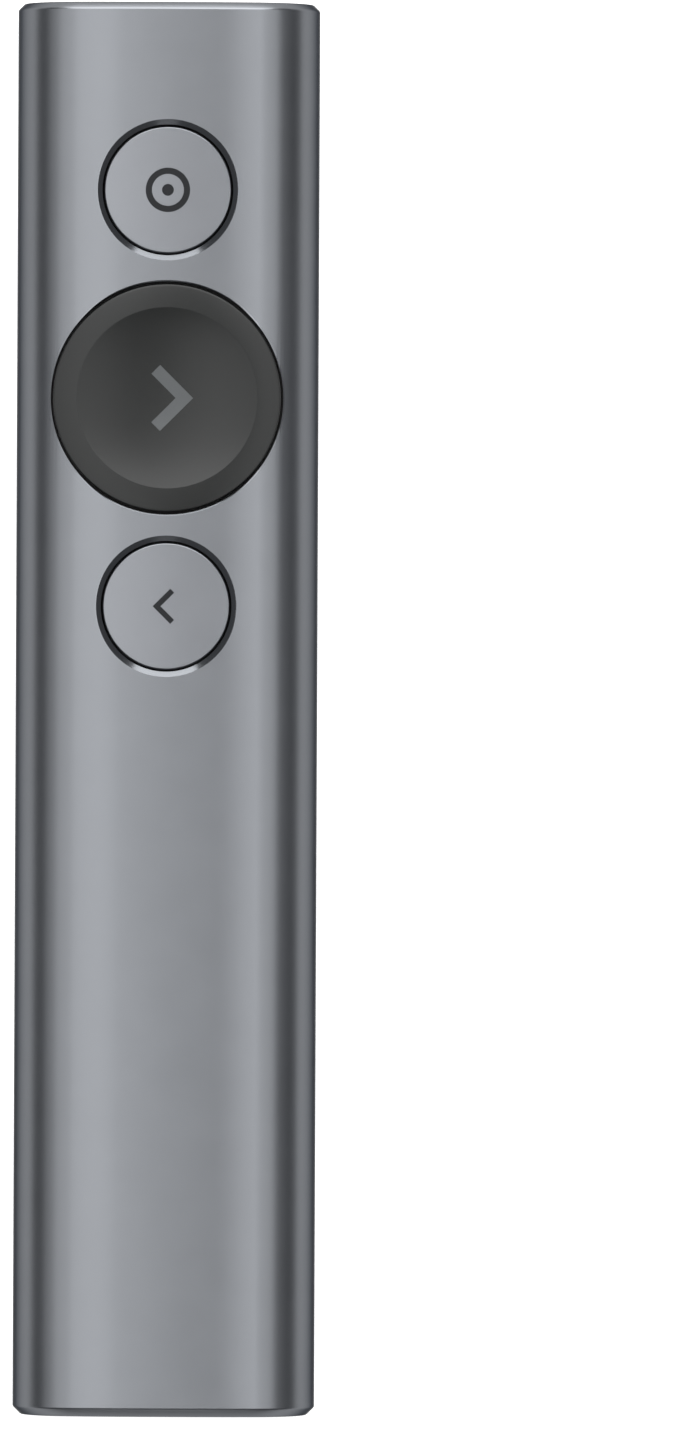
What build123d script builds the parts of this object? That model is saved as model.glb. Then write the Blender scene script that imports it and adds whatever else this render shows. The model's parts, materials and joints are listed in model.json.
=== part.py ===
from build123d import *

import os
from math import sqrt

# Wireless presentation clicker: an anodised aluminium tube with three push buttons in its front,
# an inner chassis with board, battery and vibration motor, and a plug-in receiver that is stored
# in its tail.
#
# Millimetres. X runs across the clicker, +Y points from the tail to the nose, and +Z out of the
# button face. The origin is under the middle of the clicker, on the flat back that it lies on.

# ---------------------------------------------------------------- driving dimensions

# Tube
length = 131.3
width = 28.1
thickness = 12.1
wall = 1.1
crown_radius = 150.0  # the front face bulges this gently across its width
shoulder_radius = 6.5  # between the front face and the sides
side_flat = 0.3  # the straight part of each side, above the rounded heel
nose_bevel = 0.6
tail_bevel = 0.75
bevel_break = 0.12  # rounding on the bevels' own edges
slide_fit = 0.05  # between the tube's bore and what slides into it
end_recess = 0.3  # both end faces sit this far inside the tube

# Buttons
pointer_setback = 17.45  # from the nose to the pointer button's centre
pointer_to_next = 19.3
next_to_back = 19.33
small_hole_radius = 6.05
small_hole_chamfer = 0.5
small_gap = 0.12
small_recess = 0.5  # below the tube's front face
small_edge = 0.15  # chamfer around the cap
small_stroke = 0.4
small_cap_height = 1.9
small_skirt = 1.1  # height of the hollow under the cap
large_hole_radius = 10.8
large_hole_chamfer = 0.12
large_gap = 0.25
large_crest = 0.1  # the ring's crest stands this far above the tube's front face
large_ring_fall = 0.14  # from the crest to the ring's outer edge
large_ring_arc = 27.0
large_stroke = 0.5
large_skirt = 0.5
dish_radius = 8.4
dish_depth = 0.9
skirt_wall = 1.0
post_radius = 1.2
post_hole_gap = 0.25
press_margin = 0.05  # left between a fully pressed cap and the deck
touch_gap = 0.02  # between a cap's post and its switch plunger

# Snap legs under the caps
leg_count = 3
first_leg_angle = -90.0
small_leg_radius = 4.3  # to the leg's outer face
large_leg_radius = 7.6
leg_thickness = 0.8
leg_width = 1.6
hook_reach = 0.4
hook_height = 0.6
hook_gap = 0.05
leg_slot_gap = 0.15
leg_flex = 0.55  # room for a leg to bend inwards as it snaps in

# Marks inlaid in the caps
mark_depth = 0.3
ring_mark_outer = 2.06
ring_mark_inner = 1.48
dot_mark_radius = 0.55
next_mark_height = 6.13
next_mark_stroke = 1.15
next_mark_tip = 2.42  # from the button's centre towards +X
back_mark_height = 3.27
back_mark_stroke = 0.52
back_mark_tip = 1.25  # from the button's centre towards -X

# Deck, board and battery, from the buttons down to the chassis floor
deck_thickness = 1.0
deck_tail_margin = 2.0  # behind its last screws
deck_air = 2.2  # between the board and the deck
board_thickness = 0.8
board_side_gap = 1.1
board_tab_margin = 0.23  # beside the charging socket's tabs
board_waist_gap = 3.0  # from the motor to the place where the board gets wide
board_corner = 0.8
board_end_gap = 1.0
battery_air = 0.15  # between the battery and the board
battery_width = 11.0
battery_length = 30.0
battery_tail_gap = 5.5  # from the board's rest to the battery
battery_edge = 0.5
tape_thickness = 0.2
tape_margin = 1.0
chassis_wall = 0.8
chassis_gap = 0.4  # between the chassis and the nose cap's rim
board_rest_setback = 15.05  # from the chassis' tail end
board_rest_width = 9.0
board_rest_thickness = 1.0

# Deck screws
deck_screw_edge = 2.0  # from the board's side
nose_screw_gap = 6.5  # from the pointer button's centre towards the nose
middle_screw_gap = 9.8  # from the next button's centre towards the tail
tail_screw_gap = 6.3  # from the back button's centre towards the tail
screw_radius = 0.7
screw_head_radius = 1.25
screw_head_height = 0.6
screw_socket = 0.5
screw_socket_depth = 0.35
screw_gap = 0.02
deck_screw_length = 5.6
boss_wall = 0.9
boss_root = 0.3  # how far a boss runs into the chassis floor

# Nose cap
nose_cap_depth = 3.0
nose_cap_wall = 1.2
tongue_thickness = 0.9
tongue_height = 1.6
tongue_z = 3.9
tongue_reach = 4.0
nub_length = 1.0
nub_back = 1.2  # from the tongue's tip to the nub
nub_gap = 0.1
light_pipe_radius = 0.6
light_pipe_gap = 0.1

# Tact switches
small_switch_size = 4.5
small_switch_height = 1.6
small_plunger_radius = 1.1
small_plunger_rise = 0.6
small_dome_radius = 1.6
large_switch_size = 6.0
large_switch_height = 1.9
large_plunger_radius = 1.7
large_plunger_rise = 0.7
large_dome_radius = 2.3
switch_floor = 0.4
switch_cover = 0.25
dome_thickness = 0.08
dome_gap = 0.1
play = 0.02
plunger_gap = 0.05
flange_width = 0.35
flange_height = 0.3
terminal_width = 0.7
terminal_reach = 0.8
terminal_thickness = 0.25
terminal_spacing = 3.0

# Board parts: length across, length along, height
controller_size = (5.0, 5.0, 0.85)
shield_size = (13.0, 9.0, 1.5)
shield_wall = 0.15
shield_gap = 9.6  # from the next button's centre towards the nose
sensor_size = (3.0, 3.0, 0.9)
sensor_gap = 3.0  # behind the back button's switch
charger_size = (3.0, 3.0, 0.8)
charger_setback = 4.0  # behind the board's waist
crystal_size = (2.5, 2.0, 0.6)
crystal_gap = 0.85  # beside the shield
antenna_size = (5.0, 2.0, 1.1)
antenna_edge = 2.0  # from the board's side
antenna_setback = 0.95  # from the board's nose edge
led_size = (1.6, 0.8, 0.6)
chip_size = (1.0, 0.5, 0.4)
chip_pitch = 1.9
wide_row_count = 8
narrow_row_count = 5
nose_row_gap = 7.9  # from the back button's centre towards the nose
waist_row_gap = 1.1  # from the board's waist towards the nose
tail_row_gap = 3.9  # from the charger chip's centre towards the tail

# Receiver
receiver_width = 14.8
receiver_height = 6.6
receiver_corner = 1.0
receiver_case_length = 18.6
receiver_case_wall = 0.9
receiver_cap_thickness = 1.6
receiver_lip = 1.2
receiver_lip_wall = 0.6
receiver_fit = 0.02
plug_width = 12.0
plug_height = 4.5
plug_wall = 0.3
plug_corner = 0.5
plug_length = 12.0
plug_root = 5.0  # held inside the case
plug_block = 4.0
plug_tongue_thickness = 1.84
plug_tongue_setback = 0.4
plug_window = 2.2
plug_window_spacing = 5.6
plug_window_setback = 6.2
contact_count = 4
contact_pitch = 2.3
contact_width = 1.0
contact_length = 8.0
contact_thickness = 0.12
contact_setback = 1.0
nail_groove_radius = 0.9
nail_groove_depth = 0.6
nail_groove_length = 9.0
receiver_board_thickness = 0.8
receiver_board_gap = 0.3
receiver_chip_size = (4.0, 4.0, 0.9)

# Storage bay and charging socket
receiver_clearance = 0.2
bay_wall = 1.0
bay_block_length = 5.0
flange_thickness = 1.2
tip_gap = 0.5  # between the plug's tip and the bay's end wall
bezel_thickness = 1.0
trim_thickness = 0.7
bay_screw_edge = 2.2  # from the tube's bore
bay_screw_length = 4.6
usb_c_width = 8.94
usb_c_height = 3.2
usb_c_wall = 0.3
usb_c_length = 7.3
usb_c_gap = 0.08
usb_c_setback = 0.2
usb_c_tab = 0.9
usb_c_tab_length = 1.4
usb_c_tab_back = 2.0
usb_c_tongue_width = 6.69
usb_c_tongue_thickness = 0.7
usb_c_tongue_length = 4.45
usb_c_tongue_setback = 0.7
spring_setback = 10.65  # from the bay's tail end to the springs' bumps
spring_thickness = 0.2
spring_width = 2.6
spring_length = 11.0
spring_bump = 1.6
spring_bend = 0.4
spring_window_length = 6.0
spring_window_gap = 0.15
spring_gap = 0.03  # between a leaf's bump and the receiver

# Vibration motor
motor_setback = 16.55  # from the chassis' tail end to the motor's nose end
motor_radius = 2.0
motor_length = 8.0
motor_shaft_radius = 0.4
motor_shaft_gap = 0.05
motor_shaft_hold = 5.0  # length of shaft inside the can
boot_wall = 0.5
boot_length = 6.0
cradle_seat = 0.55
cradle_rib = 1.0
cradle_height = 1.9
cradle_gap = 0.02
weight_radius = 2.2
weight_length = 3.6
weight_shoulder = 0.8  # the weight's flat top lies this far above the shaft's axis
weight_gap = 0.6

# Wires and their plug
lead_radius = 0.3
lead_spacing = 1.2
lead_bend = 0.6
lead_run = 1.5
lead_rise = 0.6
plug_body = (4.5, 3.6, 1.6)
socket_body = (6.0, 3.6, 2.4)
socket_gap = 0.05
socket_engagement = 1.8
lead_overhang = 4.0

# ---------------------------------------------------------------- places worked out from them

nose_y = length / 2
tail_y = -length / 2
half_width = width / 2
side_drop = crown_radius - sqrt(crown_radius**2 - half_width**2)
side_height = thickness - side_drop
heel_radius = side_height - shoulder_radius - side_flat
inner_inset = wall + slide_fit  # of what slides into the tube
chassis_half_width = half_width - inner_inset - chassis_wall

pointer_y = nose_y - pointer_setback
next_y = pointer_y - pointer_to_next
back_y = next_y - next_to_back

small_bottom = thickness - small_recess - small_cap_height
small_cap_radius = small_hole_radius - small_gap
large_cap_radius = large_hole_radius - large_gap
deck_top = small_bottom - small_stroke - press_margin
large_bottom = deck_top + large_stroke + press_margin
crest_z = thickness + large_crest
dish_z = crest_z - dish_depth
dish_arc = (dish_radius**2 + dish_depth**2) / (2 * dish_depth)
dish_arc_across = 1 / (1 / dish_arc - 1 / (crown_radius + large_crest))

deck_z = deck_top - deck_thickness
board_top = deck_z - deck_air
board_z = board_top - board_thickness
floor_top = inner_inset + chassis_wall
battery_z = floor_top + tape_thickness
battery_thickness = board_z - battery_air - battery_z
board_width = 2 * (chassis_half_width - board_side_gap)
board_tail_width = usb_c_width + 2 * (usb_c_tab + board_tab_margin)
boss_radius = screw_radius + boss_wall
deck_screw_x = board_width / 2 - deck_screw_edge
tail_row_y = back_y - tail_screw_gap
deck_screw_rows = (pointer_y + nose_screw_gap, next_y - middle_screw_gap, tail_row_y)
deck_screw_places = [(x, y) for y in deck_screw_rows for x in (-deck_screw_x, deck_screw_x)]
deck_tail_y = tail_row_y - deck_tail_margin

nose_cap_y = nose_y - end_recess
nose_rim_y = nose_cap_y - nose_cap_depth
chassis_nose_y = nose_rim_y - chassis_gap
board_nose_y = chassis_nose_y - board_end_gap
tongue_inset = inner_inset + chassis_wall + slide_fit

bay_z = thickness / 2
bay_half_width = receiver_width / 2 + receiver_clearance
sleeve_half_width = bay_half_width + bay_wall
tail_face_y = tail_y + end_recess
bezel_y = tail_face_y + trim_thickness
bay_tail_y = bezel_y + bezel_thickness
bay_screw_x = half_width - inner_inset - bay_screw_edge
spring_y = bay_tail_y + spring_setback
case_nose_y = tail_face_y + receiver_case_length
plug_tip_y = case_nose_y + plug_length
plug_root_y = case_nose_y - plug_root
receiver_cap_y = tail_face_y + receiver_cap_thickness
bay_end_y = plug_tip_y + tip_gap
chassis_tail_y = bay_end_y + flange_thickness
board_tail_y = chassis_tail_y + board_end_gap / 2
usb_c_mouth_y = bay_end_y + usb_c_setback
usb_c_back_y = usb_c_mouth_y + usb_c_length

boot_radius = motor_radius + boot_wall
motor_x = -(board_tail_width / 2 + chassis_half_width) / 2
motor_z = floor_top + cradle_seat + boot_radius
motor_nose_y = chassis_tail_y + motor_setback
motor_tail_y = motor_nose_y - motor_length
boot_y = motor_nose_y - (motor_length - boot_length) / 2
weight_y = motor_tail_y - weight_gap

board_waist_y = motor_nose_y + board_waist_gap
board_rest_y = chassis_tail_y + board_rest_setback
shield_y = next_y + shield_gap
sensor_y = back_y - small_switch_size / 2 - sensor_gap - sensor_size[1] / 2
charger_y = board_waist_y - charger_setback
crystal_x = shield_size[0] / 2 + crystal_gap + crystal_size[0] / 2
antenna_x = board_width / 2 - antenna_edge - antenna_size[0] / 2
antenna_y = board_nose_y - antenna_setback - antenna_size[1] / 2
chip_rows = (
    (back_y + nose_row_gap, narrow_row_count),
    (board_waist_y + waist_row_gap, wide_row_count),
    (charger_y - tail_row_gap, narrow_row_count),
)

battery_y = board_rest_y + board_rest_thickness / 2 + battery_tail_gap + battery_length / 2
battery_nose_y = battery_y + battery_length / 2
lead_z = battery_z + battery_thickness / 2
plug_y = battery_nose_y + lead_overhang
socket_y = plug_y + plug_body[1] - socket_engagement


def station(y):
    """The plane across the clicker at y. Extruding from it runs towards the tail."""
    return Plane.XZ.offset(-y)


def level(z):
    """The horizontal plane at z."""
    return Plane.XY.offset(z)


with BuildSketch() as cross_section:
    with BuildLine():
        left_side = Line((-half_width, side_height), (-half_width, 0))
        flat_back = Line(left_side @ 1, (half_width, 0))
        right_side = Line(flat_back @ 1, (half_width, side_height))
        ThreePointArc(right_side @ 1, (0, thickness), left_side @ 0)
    make_face()
    fillet(cross_section.vertices().group_by(Axis.Y)[0], heel_radius)
    fillet(cross_section.vertices().group_by(Axis.Y)[-1], shoulder_radius)


def section(inset, mode=Mode.ADD):
    """Puts the tube's cross-section, moved inwards by inset, into the open sketch."""
    if inset == 0:
        add(cross_section.sketch_local, mode=mode)
    else:
        offset(cross_section.sketch_local, amount=-inset, mode=mode)


def block(low, high, mode=Mode.ADD):
    """A box between two opposite corners, in the open part."""
    middle = [(a + b) / 2 for a, b in zip(low, high)]
    with Locations(Vector(*middle)):
        Box(*[b - a for a, b in zip(low, high)], mode=mode)


def on_board(place, size):
    """A box that stands on the board, in the open part."""
    across, along, height = size
    x, y = place
    block(
        (x - across / 2, y - along / 2, board_top),
        (x + across / 2, y + along / 2, board_top + height),
    )


def keep(piece, name):
    """Labels a finished piece and writes its STEP file."""
    piece.part.label = name
    export_step(piece.part, f"parts/{name}.step")


os.makedirs("parts", exist_ok=True)

# ---------------------------------------------------------------- tube


def button_hole(tube, y, radius, edge):
    """Cuts a button's hole through the tube's front and chamfers its outer rim."""
    with BuildSketch(level(bay_z)) as outline:
        with Locations((0, y)):
            Circle(radius)
    extrude(outline.sketch, amount=thickness, mode=Mode.SUBTRACT)
    cylinders = tube.faces(Select.LAST).filter_by(GeomType.CYLINDER)
    bore = min(cylinders, key=lambda face: abs(face.radius - radius))
    rims = bore.edges().filter_by(GeomType.LINE, reverse=True).sort_by(Axis.Z)
    chamfer(rims[len(rims) // 2 :], edge)


with BuildPart() as body_tube:
    with BuildSketch(station(nose_y)):
        section(0)
    extrude(amount=length)
    for end, bevel in ((Axis.Y, nose_bevel), (-Axis.Y, tail_bevel)):
        chamfer(body_tube.faces().sort_by(end)[-1].edges(), bevel)
        fillet(body_tube.faces().sort_by(end)[-1].edges(), bevel_break)
    with BuildSketch(station(nose_y)):
        section(wall)
    extrude(amount=length, mode=Mode.SUBTRACT)
    button_hole(body_tube, pointer_y, small_hole_radius, small_hole_chamfer)
    button_hole(body_tube, next_y, large_hole_radius, large_hole_chamfer)
    button_hole(body_tube, back_y, small_hole_radius, small_hole_chamfer)
keep(body_tube, "body_tube")

# ---------------------------------------------------------------- nose cap and light pipe


def side_tongues(root_y, tip_y):
    """A pair of tongues that reach inside the chassis walls, with nubs that catch in them."""
    toward_tail = root_y > tip_y
    nub_y = tip_y + (nub_back if toward_tail else -nub_back)
    for outer, inner, start, reach in (
        (tongue_inset, tongue_inset + tongue_thickness, root_y, root_y - tip_y),
        (inner_inset + nub_gap, tongue_inset + nub_gap, nub_y + nub_length / 2, nub_length),
    ):
        with BuildSketch(station(start)) as band:
            section(outer)
            section(inner, Mode.SUBTRACT)
            with Locations((0, tongue_z)):
                Rectangle(width, tongue_height, mode=Mode.INTERSECT)
        extrude(band.sketch, amount=reach)


with BuildPart() as nose_cap:
    with BuildSketch(station(nose_cap_y)):
        section(inner_inset)
    extrude(amount=nose_cap_wall)
    with BuildSketch(station(nose_cap_y - nose_cap_wall)):
        section(inner_inset)
        section(inner_inset + nose_cap_wall, Mode.SUBTRACT)
    extrude(amount=nose_cap_depth - nose_cap_wall)
    nose_tip_y = chassis_nose_y - tongue_reach
    side_tongues(nose_cap_y - nose_cap_wall / 2, nose_tip_y)
    with BuildSketch(station(nose_cap_y)):
        with Locations((0, board_top + led_size[2] / 2)):
            Circle(light_pipe_radius + screw_gap)
    extrude(amount=nose_cap_wall, mode=Mode.SUBTRACT)
keep(nose_cap, "nose_cap")

with BuildPart() as light_pipe:
    with BuildSketch(station(nose_cap_y)):
        with Locations((0, board_top + led_size[2] / 2)):
            Circle(light_pipe_radius)
    extrude(amount=nose_cap_y - board_nose_y - light_pipe_gap)
keep(light_pipe, "light_pipe")

# ---------------------------------------------------------------- chassis


def tongue_windows(nub_y):
    """Windows for a pair of tongues' nubs, through both chassis walls."""
    half_length = nub_length / 2 + nub_gap
    half_height = tongue_height / 2 + nub_gap
    block(
        (-half_width, nub_y - half_length, tongue_z - half_height),
        (half_width, nub_y + half_length, tongue_z + half_height),
        Mode.SUBTRACT,
    )


with BuildPart() as chassis:
    with BuildSketch(station(chassis_nose_y)):
        section(inner_inset)
        section(inner_inset + chassis_wall, Mode.SUBTRACT)
        with Locations((0, deck_z / 2)):
            Rectangle(width, deck_z, mode=Mode.INTERSECT)
    extrude(amount=chassis_nose_y - chassis_tail_y)
    tongue_windows(nose_tip_y + nub_back)
    tail_tip_y = chassis_tail_y + tongue_reach
    tongue_windows(tail_tip_y - nub_back)
    with BuildSketch(level(floor_top - boss_root)):
        with Locations(*deck_screw_places):
            Circle(boss_radius)
    extrude(amount=board_z - floor_top + boss_root)
    with BuildSketch(level(floor_top)):
        with Locations(*deck_screw_places):
            Circle(screw_radius + screw_gap)
    extrude(amount=board_z - floor_top, mode=Mode.SUBTRACT)
    block(
        (-board_rest_width / 2, board_rest_y - board_rest_thickness / 2, floor_top - boss_root),
        (board_rest_width / 2, board_rest_y + board_rest_thickness / 2, board_z),
    )
    for rib_y in (boot_y - cradle_rib / 2, boot_y - boot_length + cradle_rib / 2):
        block(
            (motor_x - boot_radius, rib_y - cradle_rib / 2, floor_top - boss_root),
            (motor_x + boot_radius, rib_y + cradle_rib / 2, floor_top + cradle_height),
        )
    with BuildSketch(station(boot_y)):
        with Locations((motor_x, motor_z)):
            Circle(boot_radius + cradle_gap)
    extrude(amount=boot_length, mode=Mode.SUBTRACT)
keep(chassis, "chassis")

# ---------------------------------------------------------------- deck


def cap_openings(y, leg_radius, hole_radius):
    """Cuts a cap's middle hole and the slots for its snap legs, which bend inwards as they pass."""
    reach = leg_flex + leg_thickness + leg_slot_gap
    with BuildSketch(level(deck_z)) as slots:
        with Locations((0, y)):
            with PolarLocations(leg_radius + leg_slot_gap - reach / 2, leg_count, first_leg_angle):
                Rectangle(reach, leg_width + 2 * leg_slot_gap)
            Circle(hole_radius)
    extrude(slots.sketch, amount=deck_thickness, mode=Mode.SUBTRACT)


with BuildPart() as button_deck:
    with BuildSketch(station(chassis_nose_y)):
        section(inner_inset)
        with Locations((0, deck_z + deck_thickness / 2)):
            Rectangle(width, deck_thickness, mode=Mode.INTERSECT)
    extrude(amount=chassis_nose_y - deck_tail_y)
    with BuildSketch(level(board_top)):
        with Locations(*deck_screw_places):
            Circle(boss_radius)
    extrude(amount=deck_air)
    cap_openings(pointer_y, small_leg_radius, post_radius + post_hole_gap)
    cap_openings(next_y, large_leg_radius, large_plunger_radius + post_hole_gap)
    cap_openings(back_y, small_leg_radius, post_radius + post_hole_gap)
    with Locations(*[Vector(x, y, deck_top) for x, y in deck_screw_places]):
        CounterBoreHole(
            radius=screw_radius + screw_gap,
            counter_bore_radius=screw_head_radius + screw_gap,
            counter_bore_depth=screw_head_height,
        )
keep(button_deck, "button_deck")


def screw(head_plane, shank_length):
    """One screw in the open part: its head ends on head_plane, and its shank runs back from it."""
    for start, radius, run in (
        (0, screw_head_radius, screw_head_height),
        (screw_head_height, screw_radius, shank_length),
    ):
        with BuildSketch(head_plane.offset(-start)) as disc:
            Circle(radius)
        extrude(disc.sketch, amount=-run)
    with BuildSketch(head_plane) as socket:
        RegularPolygon(screw_socket, 6)
    extrude(socket.sketch, amount=-screw_socket_depth, mode=Mode.SUBTRACT)


with BuildPart() as deck_screws:
    for x, y in deck_screw_places:
        screw(Plane((x, y, deck_top)), deck_screw_length)
keep(deck_screws, "deck_screws")

# ---------------------------------------------------------------- board and what is soldered to it

with BuildPart() as main_board:
    with BuildSketch(level(board_z)):
        with Locations((0, (board_nose_y + board_waist_y) / 2)):
            Rectangle(board_width, board_nose_y - board_waist_y)
        with Locations((0, (board_waist_y + board_tail_y) / 2)):
            Rectangle(board_tail_width, board_waist_y - board_tail_y)
        fillet(vertices(), board_corner)
        notch_nose_y = usb_c_back_y + usb_c_gap
        with Locations((0, (notch_nose_y + board_tail_y) / 2)):
            Rectangle(
                usb_c_width + 2 * usb_c_gap, notch_nose_y - board_tail_y, mode=Mode.SUBTRACT
            )
        with Locations(*deck_screw_places):
            Circle(screw_radius + screw_gap, mode=Mode.SUBTRACT)
    extrude(amount=board_thickness)
keep(main_board, "main_board")


def switch_housing(y, size, height, plunger_radius, dome_radius):
    """A tact switch's case in the open part, with its cavity, its plunger's hole and terminals."""
    half = size / 2
    block((-half, y - half, board_top), (half, y + half, board_top + height))
    for x in (-half - terminal_reach / 2, half + terminal_reach / 2):
        for side in (-terminal_spacing / 2, terminal_spacing / 2):
            block(
                (x - terminal_reach / 2, y + side - terminal_width / 2, board_top),
                (x + terminal_reach / 2, y + side + terminal_width / 2, board_top + terminal_thickness),
            )
    cavity_height = height - switch_floor - switch_cover
    for z, radius, run in (
        (board_top + switch_floor, dome_radius + dome_gap, cavity_height),
        (board_top + switch_floor, plunger_radius + plunger_gap, height),
    ):
        with BuildSketch(level(z)) as disc:
            with Locations((0, y)):
                Circle(radius)
        extrude(disc.sketch, amount=run, mode=Mode.SUBTRACT)


def switch_plunger(y, height, radius, rise):
    """A tact switch's plunger in the open part, with the flange that keeps it in its case."""
    flange_top = board_top + height - switch_cover - play
    for z, disc_radius, run in (
        (flange_top - flange_height, radius + flange_width, flange_height),
        (flange_top, radius, board_top + height + rise - flange_top),
    ):
        with BuildSketch(level(z)) as disc:
            with Locations((0, y)):
                Circle(disc_radius)
        extrude(disc.sketch, amount=run)


def switch_dome(y, height, radius):
    """A tact switch's snap dome in the open part, between the case's floor and the plunger."""
    base_z = board_top + switch_floor
    flange_bottom = board_top + height - switch_cover - play - flange_height
    crest = flange_bottom - play - base_z
    sphere = (radius**2 + crest**2) / (2 * crest)
    with BuildSketch(Plane((0, y, base_z), x_dir=(1, 0, 0), z_dir=(0, -1, 0))) as profile:
        with Locations((0, crest - sphere)):
            Circle(sphere)
            Circle(sphere - dome_thickness, mode=Mode.SUBTRACT)
        with Locations((radius / 2, crest / 2)):
            Rectangle(radius, crest, mode=Mode.INTERSECT)
    revolve(profile.sketch, axis=Axis((0, y, 0), (0, 0, 1)))


small_switch = (small_switch_height, small_plunger_radius, small_plunger_rise)
large_switch = (large_switch_height, large_plunger_radius, large_plunger_rise)
for name, y, size, dome_radius, (height, plunger_radius, rise) in (
    ("pointer", pointer_y, small_switch_size, small_dome_radius, small_switch),
    ("next", next_y, large_switch_size, large_dome_radius, large_switch),
    ("back", back_y, small_switch_size, small_dome_radius, small_switch),
):
    with BuildPart() as switch_case:
        switch_housing(y, size, height, plunger_radius, dome_radius)
    keep(switch_case, f"{name}_switch")
    with BuildPart() as plunger:
        switch_plunger(y, height, plunger_radius, rise)
    keep(plunger, f"{name}_plunger")
    with BuildPart() as dome:
        switch_dome(y, height, dome_radius)
    keep(dome, f"{name}_dome")

with BuildPart() as radio_shield:
    on_board((0, shield_y), shield_size)
    offset(amount=-shield_wall, openings=radio_shield.faces().sort_by(Axis.Z)[0])
keep(radio_shield, "radio_shield")

with BuildPart() as controller_chip:
    on_board((0, shield_y), controller_size)
keep(controller_chip, "controller_chip")

with BuildPart() as motion_sensor:
    on_board((0, sensor_y), sensor_size)
keep(motion_sensor, "motion_sensor")

with BuildPart() as charger_chip:
    on_board((0, charger_y), charger_size)
keep(charger_chip, "charger_chip")

with BuildPart() as crystal:
    on_board((crystal_x, shield_y), crystal_size)
keep(crystal, "crystal")

with BuildPart() as chip_antenna:
    on_board((antenna_x, antenna_y), antenna_size)
keep(chip_antenna, "chip_antenna")

with BuildPart() as status_led:
    on_board((0, board_nose_y - led_size[1] / 2), led_size)
keep(status_led, "status_led")

with BuildPart() as small_components:
    for row_y, count in chip_rows:
        for index in range(count):
            on_board(((index - (count - 1) / 2) * chip_pitch, row_y), chip_size)
keep(small_components, "small_components")

# ---------------------------------------------------------------- charging socket


def slot_outline(inset, mode=Mode.ADD):
    """The charging socket's round-ended outline, moved inwards by inset, in the open sketch."""
    with Locations((0, bay_z)):
        SlotOverall(usb_c_width - 2 * inset, usb_c_height - 2 * inset, mode=mode)


with BuildPart() as usb_c_shell:
    with BuildSketch(station(usb_c_back_y)):
        slot_outline(0)
        slot_outline(usb_c_wall, Mode.SUBTRACT)
    extrude(amount=usb_c_length)
    tab_y = usb_c_back_y - usb_c_tab_back
    for side in (-1, 1):
        root = side * (usb_c_width / 2 - usb_c_wall)
        tip = side * (usb_c_width / 2 + usb_c_tab)
        block(
            (min(root, tip), tab_y - usb_c_tab_length / 2, board_top),
            (max(root, tip), tab_y + usb_c_tab_length / 2, board_top + terminal_thickness),
        )
keep(usb_c_shell, "usb_c_shell")

with BuildPart() as usb_c_tongue:
    usb_c_block = usb_c_length - usb_c_tongue_length - usb_c_tongue_setback
    with BuildSketch(station(usb_c_back_y)):
        slot_outline(usb_c_wall)
    extrude(amount=usb_c_block)
    with BuildSketch(station(usb_c_back_y)):
        with Locations((0, bay_z)):
            Rectangle(usb_c_tongue_width, usb_c_tongue_thickness)
    extrude(amount=usb_c_block + usb_c_tongue_length)
keep(usb_c_tongue, "usb_c_tongue")

# ---------------------------------------------------------------- battery and its plug

with BuildPart() as battery_tape:
    tape_half_length = battery_length / 2 - tape_margin
    tape_half_width = battery_width / 2 - tape_margin
    block(
        (-tape_half_width, battery_y - tape_half_length, floor_top),
        (tape_half_width, battery_y + tape_half_length, battery_z),
    )
keep(battery_tape, "battery_tape")

with BuildPart() as battery_cell:
    block(
        (-battery_width / 2, battery_y - battery_length / 2, battery_z),
        (battery_width / 2, battery_nose_y, battery_z + battery_thickness),
    )
    fillet(battery_cell.edges().filter_by(Axis.Y), battery_edge)
keep(battery_cell, "battery_cell")

with BuildPart() as battery_socket:
    across, along, height = socket_body
    block(
        (-across / 2, socket_y, board_z - height),
        (across / 2, socket_y + along, board_z),
    )
    across, along, height = plug_body
    block(
        (-across / 2 - socket_gap, socket_y, lead_z - height / 2 - socket_gap),
        (across / 2 + socket_gap, socket_y + socket_engagement, lead_z + height / 2 + socket_gap),
        Mode.SUBTRACT,
    )
keep(battery_socket, "battery_socket")

with BuildPart() as battery_plug:
    block(
        (-across / 2, plug_y, lead_z - height / 2),
        (across / 2, plug_y + along, lead_z + height / 2),
    )
keep(battery_plug, "battery_plug")


def wire(points, bend):
    """A wire in the open part, along straight runs joined by arcs."""
    with BuildLine() as route:
        FilletPolyline(*points, radius=bend)
    path = route.wire()
    with BuildSketch(Plane(path @ 0, z_dir=path % 0)) as profile:
        Circle(lead_radius)
    sweep(profile.sketch, path=path)


for name, side in (("battery_lead_red", 1), ("battery_lead_black", -1)):
    with BuildPart() as lead:
        x = side * lead_spacing / 2
        wire(
            [
                (x, battery_nose_y, lead_z),
                (x, battery_nose_y + lead_run, lead_z),
                (x + side * lead_rise, (battery_nose_y + plug_y) / 2 + lead_rise, lead_z - lead_rise),
                (x, plug_y - lead_rise, lead_z),
                (x, plug_y, lead_z),
            ],
            lead_bend,
        )
    keep(lead, name)

# ---------------------------------------------------------------- vibration motor


def along_motor(start_y, radius, run, mode=Mode.ADD):
    """A cylinder on the motor's axis, from start_y towards the tail, in the open part."""
    with BuildSketch(station(start_y)) as disc:
        with Locations((motor_x, motor_z)):
            Circle(radius)
    extrude(disc.sketch, amount=run, mode=mode)


with BuildPart() as motor_can:
    along_motor(motor_nose_y, motor_radius, motor_length)
    bore_y = motor_tail_y + motor_shaft_hold + motor_shaft_gap
    along_motor(bore_y, motor_shaft_radius + motor_shaft_gap, motor_length, Mode.SUBTRACT)
keep(motor_can, "motor_can")

with BuildPart() as motor_boot:
    along_motor(boot_y, boot_radius, boot_length)
    along_motor(boot_y, motor_radius, boot_length, Mode.SUBTRACT)
keep(motor_boot, "motor_boot")

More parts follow.
